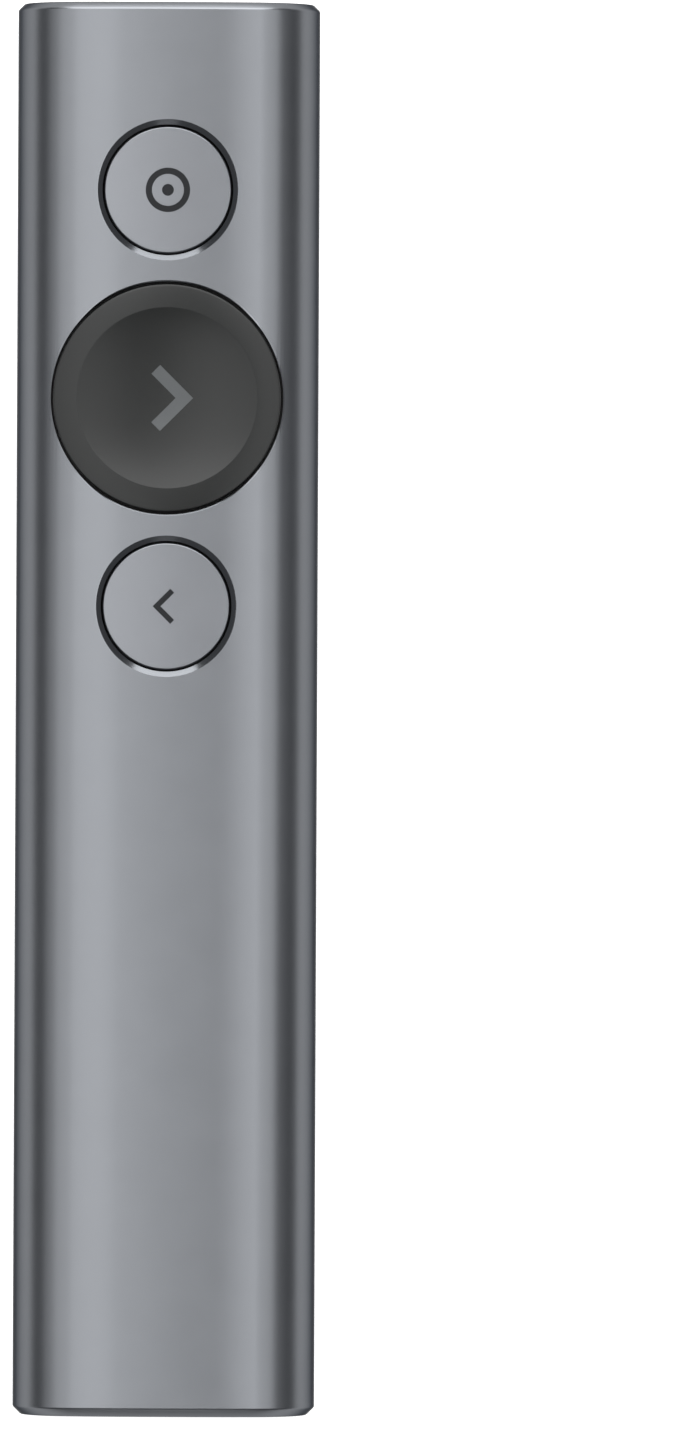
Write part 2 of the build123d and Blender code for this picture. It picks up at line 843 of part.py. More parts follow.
with BuildPart() as motor_shaft:
    along_motor(
        motor_tail_y + motor_shaft_hold,
        motor_shaft_radius,
        motor_shaft_hold + weight_gap + weight_length,
    )
keep(motor_shaft, "motor_shaft")

with BuildPart() as eccentric_weight:
    with BuildSketch(station(weight_y)):
        with Locations((motor_x, motor_z)):
            Circle(weight_radius)
        with Locations((motor_x, motor_z + weight_shoulder + weight_radius / 2)):
            Rectangle(2 * weight_radius, weight_radius, mode=Mode.SUBTRACT)
        with Locations((motor_x, motor_z)):
            Circle(motor_shaft_radius, mode=Mode.SUBTRACT)
    extrude(amount=weight_length)
keep(eccentric_weight, "eccentric_weight")

with BuildPart() as motor_leads:
    for side in (-1, 1):
        x = motor_x + side * lead_spacing / 2
        pad_z = board_top + lead_radius + play
        wire(
            [
                (x, motor_nose_y, motor_z),
                (x, motor_nose_y + lead_run, motor_z),
                (x, board_waist_y - 2 * lead_radius, pad_z),
                (x, board_waist_y + lead_run, pad_z),
            ],
            lead_bend,
        )
keep(motor_leads, "motor_leads")

# ---------------------------------------------------------------- storage bay


def receiver_outline(inset, mode=Mode.ADD):
    """The receiver's rounded outline, moved inwards by inset, in the open sketch."""
    with Locations((0, bay_z)):
        RectangleRounded(
            receiver_width - 2 * inset,
            receiver_height - 2 * inset,
            max(receiver_corner - inset, receiver_corner / 4),
            mode=mode,
        )


with BuildPart() as bay_sleeve:
    with BuildSketch(station(chassis_tail_y)):
        section(inner_inset)
    extrude(amount=flange_thickness)
    with BuildSketch(station(chassis_tail_y)):
        section(inner_inset)
        with Locations((0, bay_z)):
            Rectangle(2 * sleeve_half_width, thickness, mode=Mode.INTERSECT)
    extrude(amount=chassis_tail_y - bay_tail_y)
    with BuildSketch(station(bay_tail_y + bay_block_length)):
        section(inner_inset)
    extrude(amount=bay_block_length)
    with BuildSketch(station(bay_end_y)):
        receiver_outline(-receiver_clearance)
    extrude(amount=bay_end_y - bay_tail_y, mode=Mode.SUBTRACT)
    with BuildSketch(station(chassis_tail_y)):
        slot_outline(-usb_c_gap)
    extrude(amount=flange_thickness, mode=Mode.SUBTRACT)
    with BuildSketch(station(bay_tail_y + bay_block_length)):
        with Locations((-bay_screw_x, bay_z), (bay_screw_x, bay_z)):
            Circle(screw_radius + screw_gap)
    extrude(amount=bay_block_length, mode=Mode.SUBTRACT)
    window_half = spring_width / 2 + spring_window_gap
    block(
        (-sleeve_half_width, spring_y - spring_window_length / 2, bay_z - window_half),
        (sleeve_half_width, spring_y + spring_window_length / 2, bay_z + window_half),
        Mode.SUBTRACT,
    )
    side_tongues(chassis_tail_y - flange_thickness / 2, tail_tip_y)
keep(bay_sleeve, "bay_sleeve")

with BuildPart() as bay_springs:
    seat_x = sleeve_half_width + spring_thickness / 2
    bump_x = receiver_width / 2 + spring_gap + spring_thickness / 2
    half_window = spring_window_length / 2 - spring_bend
    with BuildSketch(level(bay_z - spring_width / 2)):
        with BuildLine():
            FilletPolyline(
                (seat_x, spring_y - spring_length / 2),
                (seat_x, spring_y - half_window),
                (bump_x, spring_y - spring_bump / 2),
                (bump_x, spring_y + spring_bump / 2),
                (seat_x, spring_y + half_window),
                (seat_x, spring_y + spring_length / 2),
                radius=spring_bend,
            )
        trace(line_width=spring_thickness)
    extrude(amount=spring_width)
    mirror(about=Plane.YZ)
keep(bay_springs, "bay_springs")

# ---------------------------------------------------------------- tail bezel and trim

tail_screw_places = [(-bay_screw_x, bay_z), (bay_screw_x, bay_z)]

with BuildPart() as tail_bezel:
    with BuildSketch(station(bay_tail_y)):
        section(inner_inset)
        receiver_outline(-receiver_clearance, Mode.SUBTRACT)
        with Locations(*tail_screw_places):
            Circle(screw_radius + screw_gap, mode=Mode.SUBTRACT)
    extrude(amount=bezel_thickness)
    with BuildSketch(station(bezel_y)):
        with Locations(*tail_screw_places):
            Circle(screw_head_radius + screw_gap)
    extrude(amount=-screw_head_height, mode=Mode.SUBTRACT)
keep(tail_bezel, "tail_bezel")

with BuildPart() as tail_screws:
    for x, z in tail_screw_places:
        screw(Plane((x, bezel_y, z), x_dir=(1, 0, 0), z_dir=(0, -1, 0)), bay_screw_length)
keep(tail_screws, "tail_screws")

with BuildPart() as tail_trim:
    with BuildSketch(station(bezel_y)):
        section(inner_inset)
        receiver_outline(-receiver_clearance, Mode.SUBTRACT)
    extrude(amount=trim_thickness)
keep(tail_trim, "tail_trim")

# ---------------------------------------------------------------- receiver


def plug_outline(inset, mode=Mode.ADD):
    """The receiver plug's outline, moved inwards by inset, in the open sketch."""
    with Locations((0, bay_z)):
        RectangleRounded(
            plug_width - 2 * inset,
            plug_height - 2 * inset,
            max(plug_corner - inset, plug_corner / 4),
            mode=mode,
        )


with BuildPart() as receiver_shell:
    with BuildSketch(station(case_nose_y)):
        receiver_outline(0)
    extrude(amount=receiver_case_length - receiver_cap_thickness)
    with BuildSketch(station(case_nose_y - receiver_case_wall)):
        receiver_outline(receiver_case_wall)
    extrude(amount=receiver_case_length, mode=Mode.SUBTRACT)
    with BuildSketch(station(case_nose_y)):
        plug_outline(-receiver_fit)
    extrude(amount=receiver_case_wall, mode=Mode.SUBTRACT)
keep(receiver_shell, "receiver_shell")

with BuildPart() as receiver_cap:
    with BuildSketch(station(receiver_cap_y)):
        receiver_outline(0)
    extrude(amount=receiver_cap_thickness)
    with BuildSketch(station(receiver_cap_y + receiver_lip)):
        receiver_outline(receiver_case_wall + receiver_fit)
        receiver_outline(receiver_case_wall + receiver_lip_wall, Mode.SUBTRACT)
    extrude(amount=receiver_lip)
    groove_y = tail_face_y - nail_groove_radius + nail_groove_depth
    with BuildSketch(Plane.YZ.offset(-nail_groove_length / 2)):
        with Locations((groove_y, bay_z)):
            Circle(nail_groove_radius)
    extrude(amount=nail_groove_length, mode=Mode.SUBTRACT)
keep(receiver_cap, "receiver_cap")

with BuildPart() as receiver_plug_shell:
    with BuildSketch(station(plug_tip_y)):
        plug_outline(0)
        plug_outline(plug_wall, Mode.SUBTRACT)
    extrude(amount=plug_length + plug_root)
    with BuildSketch(level(0)):
        with Locations((0, plug_tip_y - plug_window_setback)):
            with GridLocations(plug_window_spacing, 0, 2, 1):
                Rectangle(plug_window, plug_window)
    extrude(amount=thickness, mode=Mode.SUBTRACT)
keep(receiver_plug_shell, "receiver_plug_shell")

tongue_bottom = bay_z - plug_height / 2 + plug_wall + receiver_fit
tongue_top = tongue_bottom + plug_tongue_thickness

with BuildPart() as receiver_tongue:
    with BuildSketch(station(plug_root_y + plug_block)):
        plug_outline(plug_wall + receiver_fit)
    extrude(amount=plug_block)
    with BuildSketch(station(plug_tip_y - plug_tongue_setback)):
        plug_outline(plug_wall + receiver_fit)
        with Locations((0, (tongue_bottom + tongue_top) / 2)):
            Rectangle(plug_width, plug_tongue_thickness, mode=Mode.INTERSECT)
    extrude(amount=plug_length + plug_root - plug_tongue_setback)
keep(receiver_tongue, "receiver_tongue")

with BuildPart() as receiver_contacts:
    with BuildSketch(level(tongue_top)):
        with Locations((0, plug_tip_y - contact_setback - contact_length / 2)):
            with GridLocations(contact_pitch, 0, contact_count, 1):
                Rectangle(contact_width, contact_length)
    extrude(amount=contact_thickness)
keep(receiver_contacts, "receiver_contacts")

receiver_board_tail_y = receiver_cap_y + receiver_lip + receiver_board_gap
receiver_board_half_width = receiver_width / 2 - receiver_case_wall - slide_fit
receiver_board_top = tongue_bottom + receiver_board_thickness

with BuildPart() as receiver_board:
    block(
        (-receiver_board_half_width, receiver_board_tail_y, tongue_bottom),
        (receiver_board_half_width, plug_root_y, receiver_board_top),
    )
keep(receiver_board, "receiver_board")

with BuildPart() as receiver_chip:
    across, along, height = receiver_chip_size
    chip_y = (receiver_board_tail_y + plug_root_y) / 2
    block(
        (-across / 2, chip_y - along / 2, receiver_board_top),
        (across / 2, chip_y + along / 2, receiver_board_top + height),
    )
keep(receiver_chip, "receiver_chip")

# ---------------------------------------------------------------- buttons


def small_blank(cap, y):
    """A small cap's disc in the open part: its top follows the tube's crown."""
    with BuildSketch(station(y + small_cap_radius)) as crown:
        section(small_recess)
    extrude(crown.sketch, amount=2 * small_cap_radius)
    with BuildSketch(level(small_bottom)) as disc:
        with Locations((0, y)):
            Circle(small_cap_radius)
    extrude(disc.sketch, amount=thickness, mode=Mode.INTERSECT)
    rim = cap.edges().filter_by(GeomType.LINE, reverse=True).sort_by(Axis.Z)[-1]
    chamfer(rim, small_edge)


def large_blank(y):
    """The large cap's disc in the open part: a gently sloped ring around a round dish."""
    upright = Axis((0, y, 0), (0, 0, 1))
    with BuildSketch(Plane((0, y, 0), x_dir=(1, 0, 0), z_dir=(0, -1, 0))) as profile:
        with BuildLine():
            bottom = Line((0, large_bottom), (large_cap_radius, large_bottom))
            side = Line(bottom @ 1, (large_cap_radius, crest_z - large_ring_fall))
            ring = RadiusArc(side @ 1, (dish_radius, crest_z), -large_ring_arc)
            Polyline(ring @ 1, (0, crest_z), bottom @ 0)
        make_face()
    revolve(profile.sketch, axis=upright)
    with BuildSketch(station(y + large_cap_radius)) as crown:
        section(-large_crest)
    extrude(crown.sketch, amount=2 * large_cap_radius, mode=Mode.INTERSECT)
    rise = dish_arc - sqrt(dish_arc**2 - large_cap_radius**2)
    with BuildSketch(Plane.YZ) as bowl:
        with BuildLine():
            low = (y - large_cap_radius, dish_z + rise)
            high = (y + large_cap_radius, dish_z + rise)
            ThreePointArc(low, (y, dish_z), high)
            Line(low, high)
        make_face()
    revolve(bowl.sketch, axis=Axis((0, 0, dish_z + dish_arc_across), (0, 1, 0)), mode=Mode.SUBTRACT)


def cap_underside(y, bottom, skirt, cap_radius, leg_radius, plunger_top):
    """Hollows a cap from below and adds its post and its snap legs, in the open part."""
    with BuildSketch(level(bottom)) as hollow:
        with Locations((0, y)):
            Circle(cap_radius - skirt_wall)
    extrude(hollow.sketch, amount=skirt, mode=Mode.SUBTRACT)
    ceiling = bottom + skirt
    post_bottom = plunger_top + touch_gap
    hook_bottom = deck_z - hook_gap - hook_height
    with BuildSketch(level(post_bottom)) as post:
        with Locations((0, y)):
            Circle(post_radius)
    extrude(post.sketch, amount=ceiling - post_bottom)
    hook_reach_total = leg_thickness + hook_reach
    for middle, radial, run in (
        (leg_radius - leg_thickness / 2, leg_thickness, ceiling - hook_bottom),
        (leg_radius + hook_reach - hook_reach_total / 2, hook_reach_total, hook_height),
    ):
        with BuildSketch(level(hook_bottom)) as legs:
            with Locations((0, y)):
                with PolarLocations(middle, leg_count, first_leg_angle):
                    Rectangle(radial, leg_width)
        extrude(legs.sketch, amount=run)


def chevron(y, height, stroke, tip_x, direction):
    """A right-angled arrow mark in the open sketch, its tip at tip_x, pointing along X."""
    step = stroke / sqrt(2)
    half = height / 2
    outline = [
        (0, 0),
        (-half, half),
        (-half - step, half - step),
        (-2 * step, 0),
        (-half - step, step - half),
        (-half, -half),
    ]
    Polygon(*[(direction * (tip_x + px), y + py) for px, py in outline], align=None)


small_top = thickness - small_recess
small_plunger_top = board_top + small_switch_height + small_plunger_rise
large_plunger_top = board_top + large_switch_height + large_plunger_rise

with BuildPart() as pointer_mark:
    small_blank(pointer_mark, pointer_y)
    with BuildSketch(level(small_top - mark_depth)):
        with Locations((0, pointer_y)):
            Circle(ring_mark_outer)
            Circle(ring_mark_inner, mode=Mode.SUBTRACT)
            Circle(dot_mark_radius)
    extrude(amount=thickness, mode=Mode.INTERSECT)
keep(pointer_mark, "pointer_mark")

with BuildPart() as next_mark:
    large_blank(next_y)
    with BuildSketch(level(dish_z - mark_depth)):
        chevron(next_y, next_mark_height, next_mark_stroke, next_mark_tip, 1)
    extrude(amount=thickness, mode=Mode.INTERSECT)
keep(next_mark, "next_mark")

with BuildPart() as back_mark:
    small_blank(back_mark, back_y)
    with BuildSketch(level(small_top - mark_depth)):
        chevron(back_y, back_mark_height, back_mark_stroke, back_mark_tip, -1)
    extrude(amount=thickness, mode=Mode.INTERSECT)
keep(back_mark, "back_mark")

for name, y, mark in (("pointer", pointer_y, pointer_mark), ("back", back_y, back_mark)):
    with BuildPart() as small_button:
        small_blank(small_button, y)
        cap_underside(
            y, small_bottom, small_skirt, small_cap_radius, small_leg_radius, small_plunger_top
        )
        add(mark.part, mode=Mode.SUBTRACT)
    keep(small_button, f"{name}_button")

with BuildPart() as next_button:
    large_blank(next_y)
    cap_underside(
        next_y, large_bottom, large_skirt, large_cap_radius, large_leg_radius, large_plunger_top
    )
    add(next_mark.part, mode=Mode.SUBTRACT)
keep(next_button, "next_button")
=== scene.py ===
# %% [markdown]
# # A presentation clicker, dressed in Blender
#
# The clicker is a flat tube of anodised aluminium with three round buttons in its front. Its
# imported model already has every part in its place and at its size. This lesson gives it its looks:
# crisp turned edges on the tube and the buttons, a finish for each material, and a light table to
# lie on. Everything that is new is modelled in millimetres and scaled to metres at the end.

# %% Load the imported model
import json
from math import asin, cos, pi, radians, sin, sqrt, tan, tau

import bmesh
import bpy
from mathutils import Matrix, Vector

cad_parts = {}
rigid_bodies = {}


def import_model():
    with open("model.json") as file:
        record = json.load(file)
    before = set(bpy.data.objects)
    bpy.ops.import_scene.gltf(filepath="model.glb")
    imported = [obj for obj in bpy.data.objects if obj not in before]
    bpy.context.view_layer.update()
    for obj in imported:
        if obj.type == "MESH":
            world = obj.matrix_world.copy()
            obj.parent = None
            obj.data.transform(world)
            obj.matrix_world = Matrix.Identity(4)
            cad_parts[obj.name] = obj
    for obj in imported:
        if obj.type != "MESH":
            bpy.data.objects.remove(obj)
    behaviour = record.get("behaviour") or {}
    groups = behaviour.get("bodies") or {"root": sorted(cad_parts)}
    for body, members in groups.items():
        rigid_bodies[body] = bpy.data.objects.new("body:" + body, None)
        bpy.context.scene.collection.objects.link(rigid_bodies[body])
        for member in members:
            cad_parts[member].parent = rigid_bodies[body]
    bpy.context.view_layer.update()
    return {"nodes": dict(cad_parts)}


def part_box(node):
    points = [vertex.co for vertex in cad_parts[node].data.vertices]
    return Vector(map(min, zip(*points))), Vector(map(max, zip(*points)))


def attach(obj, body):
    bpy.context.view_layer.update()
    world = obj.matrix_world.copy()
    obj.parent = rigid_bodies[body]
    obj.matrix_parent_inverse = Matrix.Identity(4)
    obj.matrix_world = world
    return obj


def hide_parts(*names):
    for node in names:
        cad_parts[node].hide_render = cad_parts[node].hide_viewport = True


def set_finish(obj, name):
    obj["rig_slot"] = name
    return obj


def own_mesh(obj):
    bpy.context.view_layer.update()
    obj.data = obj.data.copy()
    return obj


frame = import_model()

# %% [markdown]
# ## From a bmesh to a finished piece
#
# Each new piece starts as a bmesh, Blender's editable mesh, which knows operators such as spin,
# extrude and bevel. A helper turns it into an object: it scales it to metres, smooths its faces and
# keeps edges sharper than a given angle crisp, so that a turned rim reads as a rim. The piece then
# rides on a body of the model, and stands for the plain nodes that it replaces.

# %% Helper: finish a piece
MILLIMETRE = 0.001
HAIR = 0.001  # in millimetres: closer than this is the same place
UP = (0, 0, 1)
ALONG = (0, 1, 0)


def new_object(name, bm, crisp_angle=30):
    """Makes an object in metres from a bmesh in millimetres."""
    bmesh.ops.scale(bm, vec=(MILLIMETRE,) * 3, verts=bm.verts)
    mesh = bpy.data.meshes.new(name)
    bm.to_mesh(mesh)
    bm.free()
    mesh.shade_smooth()
    mesh.set_sharp_from_angle(angle=radians(crisp_angle))
    piece = bpy.data.objects.new(name, mesh)
    bpy.context.scene.collection.objects.link(piece)
    return piece


def settle(piece, body, slot, *nodes):
    """Lets a piece ride on a body, in a slot's finish, instead of plain nodes."""
    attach(piece, body)
    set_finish(piece, slot)
    if nodes:
        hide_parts(*nodes)
    print(piece.name, "has", len(piece.data.polygons), "faces and rides on", body)


# %% [markdown]
# ## Drawing with lines and arcs
#
# Turned and drawn parts start as an outline. A line adds one vertex and an edge. An arc is a single
# vertex that the spin operator carries around a centre: it leaves a chain of edges behind it, so
# every round stretch is truly round, and its smoothness is one number.

# %% Helpers: lines, arcs and turned shapes
LATHE_WELD = 0.0005


def verts_in(parts):
    """The vertices among what an operator gives back."""
    return [part for part in parts if isinstance(part, bmesh.types.BMVert)]


def line(bm, start, point):
    """An edge from a vertex to a point. Gives the new vertex."""
    end = bm.verts.new(point)
    bm.edges.new((start, end))
    return end


def arc(bm, start, centre, turn, steps, axis=ALONG):
    """Carries a vertex around a centre and gives the arc's last vertex."""
    swept = bmesh.ops.spin(
        bm, geom=[start], cent=centre, axis=axis, dvec=(0, 0, 0), angle=turn, steps=steps
    )
    return verts_in(swept["geom_last"])[0]


def lathe(bm, steps=144):
    """Turns the profile that a bmesh holds once around the Z axis."""
    bmesh.ops.spin(
        bm, geom=bm.verts[:] + bm.edges[:], cent=(0, 0, 0), axis=UP, dvec=(0, 0, 0),
        angle=tau, steps=steps, use_merge=True,
    )
    bmesh.ops.remove_doubles(bm, verts=bm.verts, dist=LATHE_WELD)
    bmesh.ops.recalc_face_normals(bm, faces=bm.faces)


# %% [markdown]
# ## The tube's cross-section
#
# The aluminium tube is extruded: the same outline runs its whole length. A gently crowned front
# runs through large shoulders into short straight sides, and smaller heels lead to the flat back.
# Where a flat arc meets a tight one directly, a glossy skin shows a hard line along the whole tube.
# So an easing arc of middle size lies between crown and shoulder, and the light runs off smoothly.
# The arcs' centres don't move when the outline shrinks inwards, so one function draws the outer
# skin, the bore and everything that slides into it.

# %% Cross-section
WIDTH, LENGTH, THICKNESS, WALL = 28.1, 131.3, 12.1, 1.1
CROWN_RADIUS, EASING_RADIUS, SHOULDER_RADIUS, HEEL_RADIUS = 150.0, 40.0, 6.5, 4.64
CROWN_TURN = radians(1.6)
half_width = WIDTH / 2
crown_centre_z = THICKNESS - CROWN_RADIUS
easing_x = (CROWN_RADIUS - EASING_RADIUS) * sin(CROWN_TURN)
easing_z = crown_centre_z + (CROWN_RADIUS - EASING_RADIUS) * cos(CROWN_TURN)
shoulder_x = half_width - SHOULDER_RADIUS
eased_turn = asin((shoulder_x - easing_x) / (EASING_RADIUS - SHOULDER_RADIUS))
shoulder_z = easing_z + (EASING_RADIUS - SHOULDER_RADIUS) * cos(eased_turn)


def outline(bm, y, inset):
    """The tube's outline at y, moved inwards by inset. Gives its edges."""
    before = set(bm.edges)
    first = bm.verts.new((0, y, THICKNESS - inset))
    end = arc(bm, first, (0, y, crown_centre_z), CROWN_TURN, 8)
    end = arc(bm, end, (easing_x, y, easing_z), eased_turn - CROWN_TURN, 10)
    end = arc(bm, end, (shoulder_x, y, shoulder_z), pi / 2 - eased_turn, 26)
    end = line(bm, end, (half_width - inset, y, HEEL_RADIUS))
    end = arc(bm, end, (half_width - HEEL_RADIUS, y, HEEL_RADIUS), pi / 2, 16)
    line(bm, end, (0, y, inset))
    half = [edge for edge in bm.edges if edge not in before]
    corners = list(dict.fromkeys(vert for edge in half for vert in edge.verts))
    bmesh.ops.mirror(bm, geom=corners + half, merge_dist=HAIR, axis="X")
    return [edge for edge in bm.edges if edge not in before]


def crown_drop(x):
    """How far the crowned front has dropped at x from the middle."""
    return CROWN_RADIUS - sqrt(CROWN_RADIUS**2 - x**2)


print("shoulder starts at x, mm:", round(shoulder_x + SHOULDER_RADIUS * sin(eased_turn), 2))

# %% [markdown]
# ## The tube
#
# The real tube is pressed through a die, sawn off, milled and bevelled at both ends, blasted with
# fine beads and anodised. Here the extrude operator is the press: it draws the outline along Y, in
# steps, with a line on each side of every button hole, so that the faces around a hole stay short.
# An inset of each end face that also pushes it outwards is the end bevel, a flat inset is the sawn
# rim, and what is left of the face goes through to the other end as the bore. The bevel operator
# then breaks each corner by a tenth of a millimetre, as the tumbling of the real one does, because
# that tiny round is what catches the light.

# %% Helpers: press a solid, inset its ends, break its corners
CORNER = radians(20)


def press(bm, y, inset, steps):
    """Draws the outline along Y in steps and closes it. Gives the low and the high face."""
    start = loop = outline(bm, y, inset)
    for step in steps:
        drawn = bmesh.ops.extrude_edge_only(bm, edges=loop)["geom"]
        ahead = verts_in(drawn)
        bmesh.ops.translate(bm, vec=(0, step, 0), verts=ahead)
        edges = [part for part in drawn if isinstance(part, bmesh.types.BMEdge)]
        loop = [edge for edge in edges if all(vert in ahead for vert in edge.verts)]
    ends = [bmesh.ops.edgeloop_fill(bm, edges=rim)["faces"][0] for rim in (start, loop)]
    bmesh.ops.recalc_face_normals(bm, faces=bm.faces)
    return ends


def narrow(bm, face, width, outwards=0):
    """Narrows a face by width on all sides and pushes it outwards."""
    bmesh.ops.inset_region(bm, faces=[face], thickness=width, depth=outwards, use_even_offset=True)


def push(bm, face, distance):
    """Extrudes a face along Y and takes away the old one. Gives the moved face."""
    drawn = bmesh.ops.extrude_face_region(bm, geom=[face])["geom"]
    bmesh.ops.delete(bm, geom=[face], context="FACES_ONLY")
    bmesh.ops.translate(bm, vec=(0, distance, 0), verts=verts_in(drawn))
    return next(part for part in drawn if isinstance(part, bmesh.types.BMFace))


def break_corners(bm, rounding):
    """Rounds every corner that runs around the outline."""
    bmesh.ops.recalc_face_normals(bm, faces=bm.faces)
    sharp = [edge for edge in bm.edges if edge.calc_face_angle(0) > CORNER]
    rims = [edge for edge in sharp if abs(edge.verts[0].co.y - edge.verts[1].co.y) < HAIR]
    bmesh.ops.bevel(
        bm, geom=rims, offset=rounding, segments=3, profile=0.5, affect="EDGES", material=-1,
        clamp_overlap=True,
    )


# %% Tube blank
NOSE_BEVEL, TAIL_BEVEL, EDGE_BREAK = 0.6, 0.75, 0.12
POINTER_Y, NEXT_Y, BACK_Y = 48.2, 28.9, 9.57
SMALL_HOLE, SMALL_CHAMFER = 6.05, 0.5
LARGE_HOLE, LARGE_CHAMFER = 10.8, 0.12
HOLE_MARGIN, BORE_WELD = 0.9, 0.01
nose_y, tail_y = LENGTH / 2, -LENGTH / 2

small_reach = SMALL_HOLE + SMALL_CHAMFER + HOLE_MARGIN
large_reach = LARGE_HOLE + LARGE_CHAMFER
stops = [
    tail_y + TAIL_BEVEL,
    BACK_Y - small_reach,
    (BACK_Y + small_reach + NEXT_Y - large_reach) / 2,
    (NEXT_Y + large_reach + POINTER_Y - small_reach) / 2,
    POINTER_Y + small_reach,
    nose_y - NOSE_BEVEL,
]
tube_blank = bmesh.new()
tail_face, nose_face = press(tube_blank, stops[0], 0, [b - a for a, b in zip(stops, stops[1:])])
for face, bevel in ((tail_face, TAIL_BEVEL), (nose_face, NOSE_BEVEL)):
    narrow(tube_blank, face, bevel, outwards=bevel)
    narrow(tube_blank, face, WALL - bevel)
through = push(tube_blank, nose_face, -LENGTH)
bmesh.ops.delete(tube_blank, geom=[through, tail_face], context="FACES_ONLY")
bmesh.ops.remove_doubles(tube_blank, verts=tube_blank.verts, dist=BORE_WELD)
break_corners(tube_blank, EDGE_BREAK)
print("tube blank, cubic mm:", round(tube_blank.calc_volume(signed=True)))
tube = new_object("tube", tube_blank)
print("tube blank has", len(tube.data.polygons), "faces")

# %% [markdown]
# ## Cutting the button holes
#
# Each hole is milled and its rim chamfered. The cutter is turned on the lathe like a real
# countersink: a shaft and a cone, a little flatter than 45 degrees, with the corner between them
# broken. The front is crowned, so the cutter's upper rings are bent along with it, and the chamfer
# stays as wide at the sides as at the top. Its cone goes on above the surface, because a cutter
# that ends exactly on a surface cuts unreliably.
#
# A Boolean modifier cuts it out, and its result becomes the tube's own mesh. The cut leaves crumbs,
# edges of a few thousandths of a millimetre, which are welded away. It also leaves long thin faces
# beside wide ones, whose smooth shading would be uneven, so a weighted normal modifier lets the
# wide faces decide which way the surface looks.

# %% Cutters
CUTTER_FOOT, HEAD_RISE, CHAMFER_FLATNESS = 6, 0.4, 0.9
RIM_BREAK, BREAK_OUT, BREAK_UP = 0.05, 0.4, 0.1
CRUMB = 0.002


def follow_crown(bm, above):
    """Bends what lies above a height along the tube's crowned front."""
    for vert in bm.verts:
        if vert.co.z > above:
            vert.co.z -= crown_drop(vert.co.x)


def cutter(name, y, radius, chamfer):
    """A countersink for one button hole."""
    bm = bmesh.new()
    rim_z = THICKNESS - chamfer * CHAMFER_FLATNESS
    head_z = THICKNESS + HEAD_RISE * CHAMFER_FLATNESS
    end = bm.verts.new((0, 0, CUTTER_FOOT))
    for x, z in (
        (radius, CUTTER_FOOT),
        (radius, rim_z - RIM_BREAK),
        (radius + BREAK_OUT * RIM_BREAK, rim_z + BREAK_UP * RIM_BREAK),
        (radius + chamfer + HEAD_RISE, head_z),
        (0, head_z),
    ):
        end = line(bm, end, (x, 0, z))
    lathe(bm)
    follow_crown(bm, rim_z - 2 * RIM_BREAK)
    bmesh.ops.translate(bm, vec=(0, y, 0), verts=bm.verts)
    return new_object(name, bm)


def carve(piece, tools, crisp_angle=25):
    """Cuts tools out of a piece, and cleans and smooths the mesh that is left."""
    for tool in tools:
        cut = piece.modifiers.new("cut", "BOOLEAN")
        cut.object, cut.operation, cut.solver = tool, "DIFFERENCE", "EXACT"
    bpy.context.view_layer.update()
    evaluated = piece.evaluated_get(bpy.context.evaluated_depsgraph_get())
    piece.data = bpy.data.meshes.new_from_object(evaluated)
    piece.modifiers.clear()
    for tool in tools:
        bpy.data.objects.remove(tool)
    bm = bmesh.new()
    bm.from_mesh(piece.data)
    bmesh.ops.remove_doubles(bm, verts=bm.verts, dist=CRUMB * MILLIMETRE)
    bmesh.ops.dissolve_degenerate(bm, edges=bm.edges, dist=CRUMB * MILLIMETRE)
    bm.to_mesh(piece.data)
    bm.free()
    piece.data.shade_smooth()
    piece.data.set_sharp_from_angle(angle=radians(crisp_angle))
    even = piece.modifiers.new("even_normals", "WEIGHTED_NORMAL")
    even.keep_sharp = True


carve(
    tube,
    [
        cutter("pointer_cutter", POINTER_Y, SMALL_HOLE, SMALL_CHAMFER),
        cutter("next_cutter", NEXT_Y, LARGE_HOLE, LARGE_CHAMFER),
        cutter("back_cutter", BACK_Y, SMALL_HOLE, SMALL_CHAMFER),
    ],
)
settle(tube, "clicker", "anodised_tube", "body_tube")

# %% [markdown]
# ## The small buttons
#
# Pointer and back button are turned aluminium caps. Their tops follow the tube's crown and sit
# half a millimetre below it, level with the foot of the hole's chamfer, so that the chamfer is seen
# whole around them. Their own edge is a narrow chamfer with its corners taken off. Underneath are
# the skirt, the post that presses the switch, and three snap legs, so the piece is whole when it's
# taken out. One profile on the lathe gives all of it but the legs. Each leg is the outline of a
# hooked bar, given a width, and its root stands a little way inside the cap.

# %% Small buttons
SMALL_TOP, SMALL_BOTTOM, SMALL_CAP, SMALL_SKIRT = 11.6, 9.7, 5.93, 1.1
SMALL_EDGE, EDGE_SOFT, TOP_RINGS, SMALL_BEND = 0.15, 0.01, 6, 1.5
SKIRT_WALL, FOOT_BREAK, POST_RADIUS, SMALL_POST_END = 1.0, 0.1, 1.2, 8.27
LEG_THICKNESS, LEG_WIDTH, LEG_ROOT = 0.8, 1.6, 0.1
HOOK_REACH, HOOK_HEIGHT, HOOK_BOTTOM = 0.4, 0.6, 7.6
SMALL_LEG_RADIUS, LARGE_LEG_RADIUS = 4.3, 7.6


def underside(bm, cap_radius, bottom, ceiling, post_end):
    """The profile under a cap, from its post's foot to the foot of its side."""
    end = bm.verts.new((0, 0, post_end))
    for x, z in (
        (POST_RADIUS - FOOT_BREAK, post_end),
        (POST_RADIUS, post_end + FOOT_BREAK),
        (POST_RADIUS, ceiling),
        (cap_radius - SKIRT_WALL, ceiling),
        (cap_radius - SKIRT_WALL, bottom),
        (cap_radius - FOOT_BREAK, bottom),
        (cap_radius, bottom + FOOT_BREAK),
    ):
        end = line(bm, end, (x, 0, z))
    return end


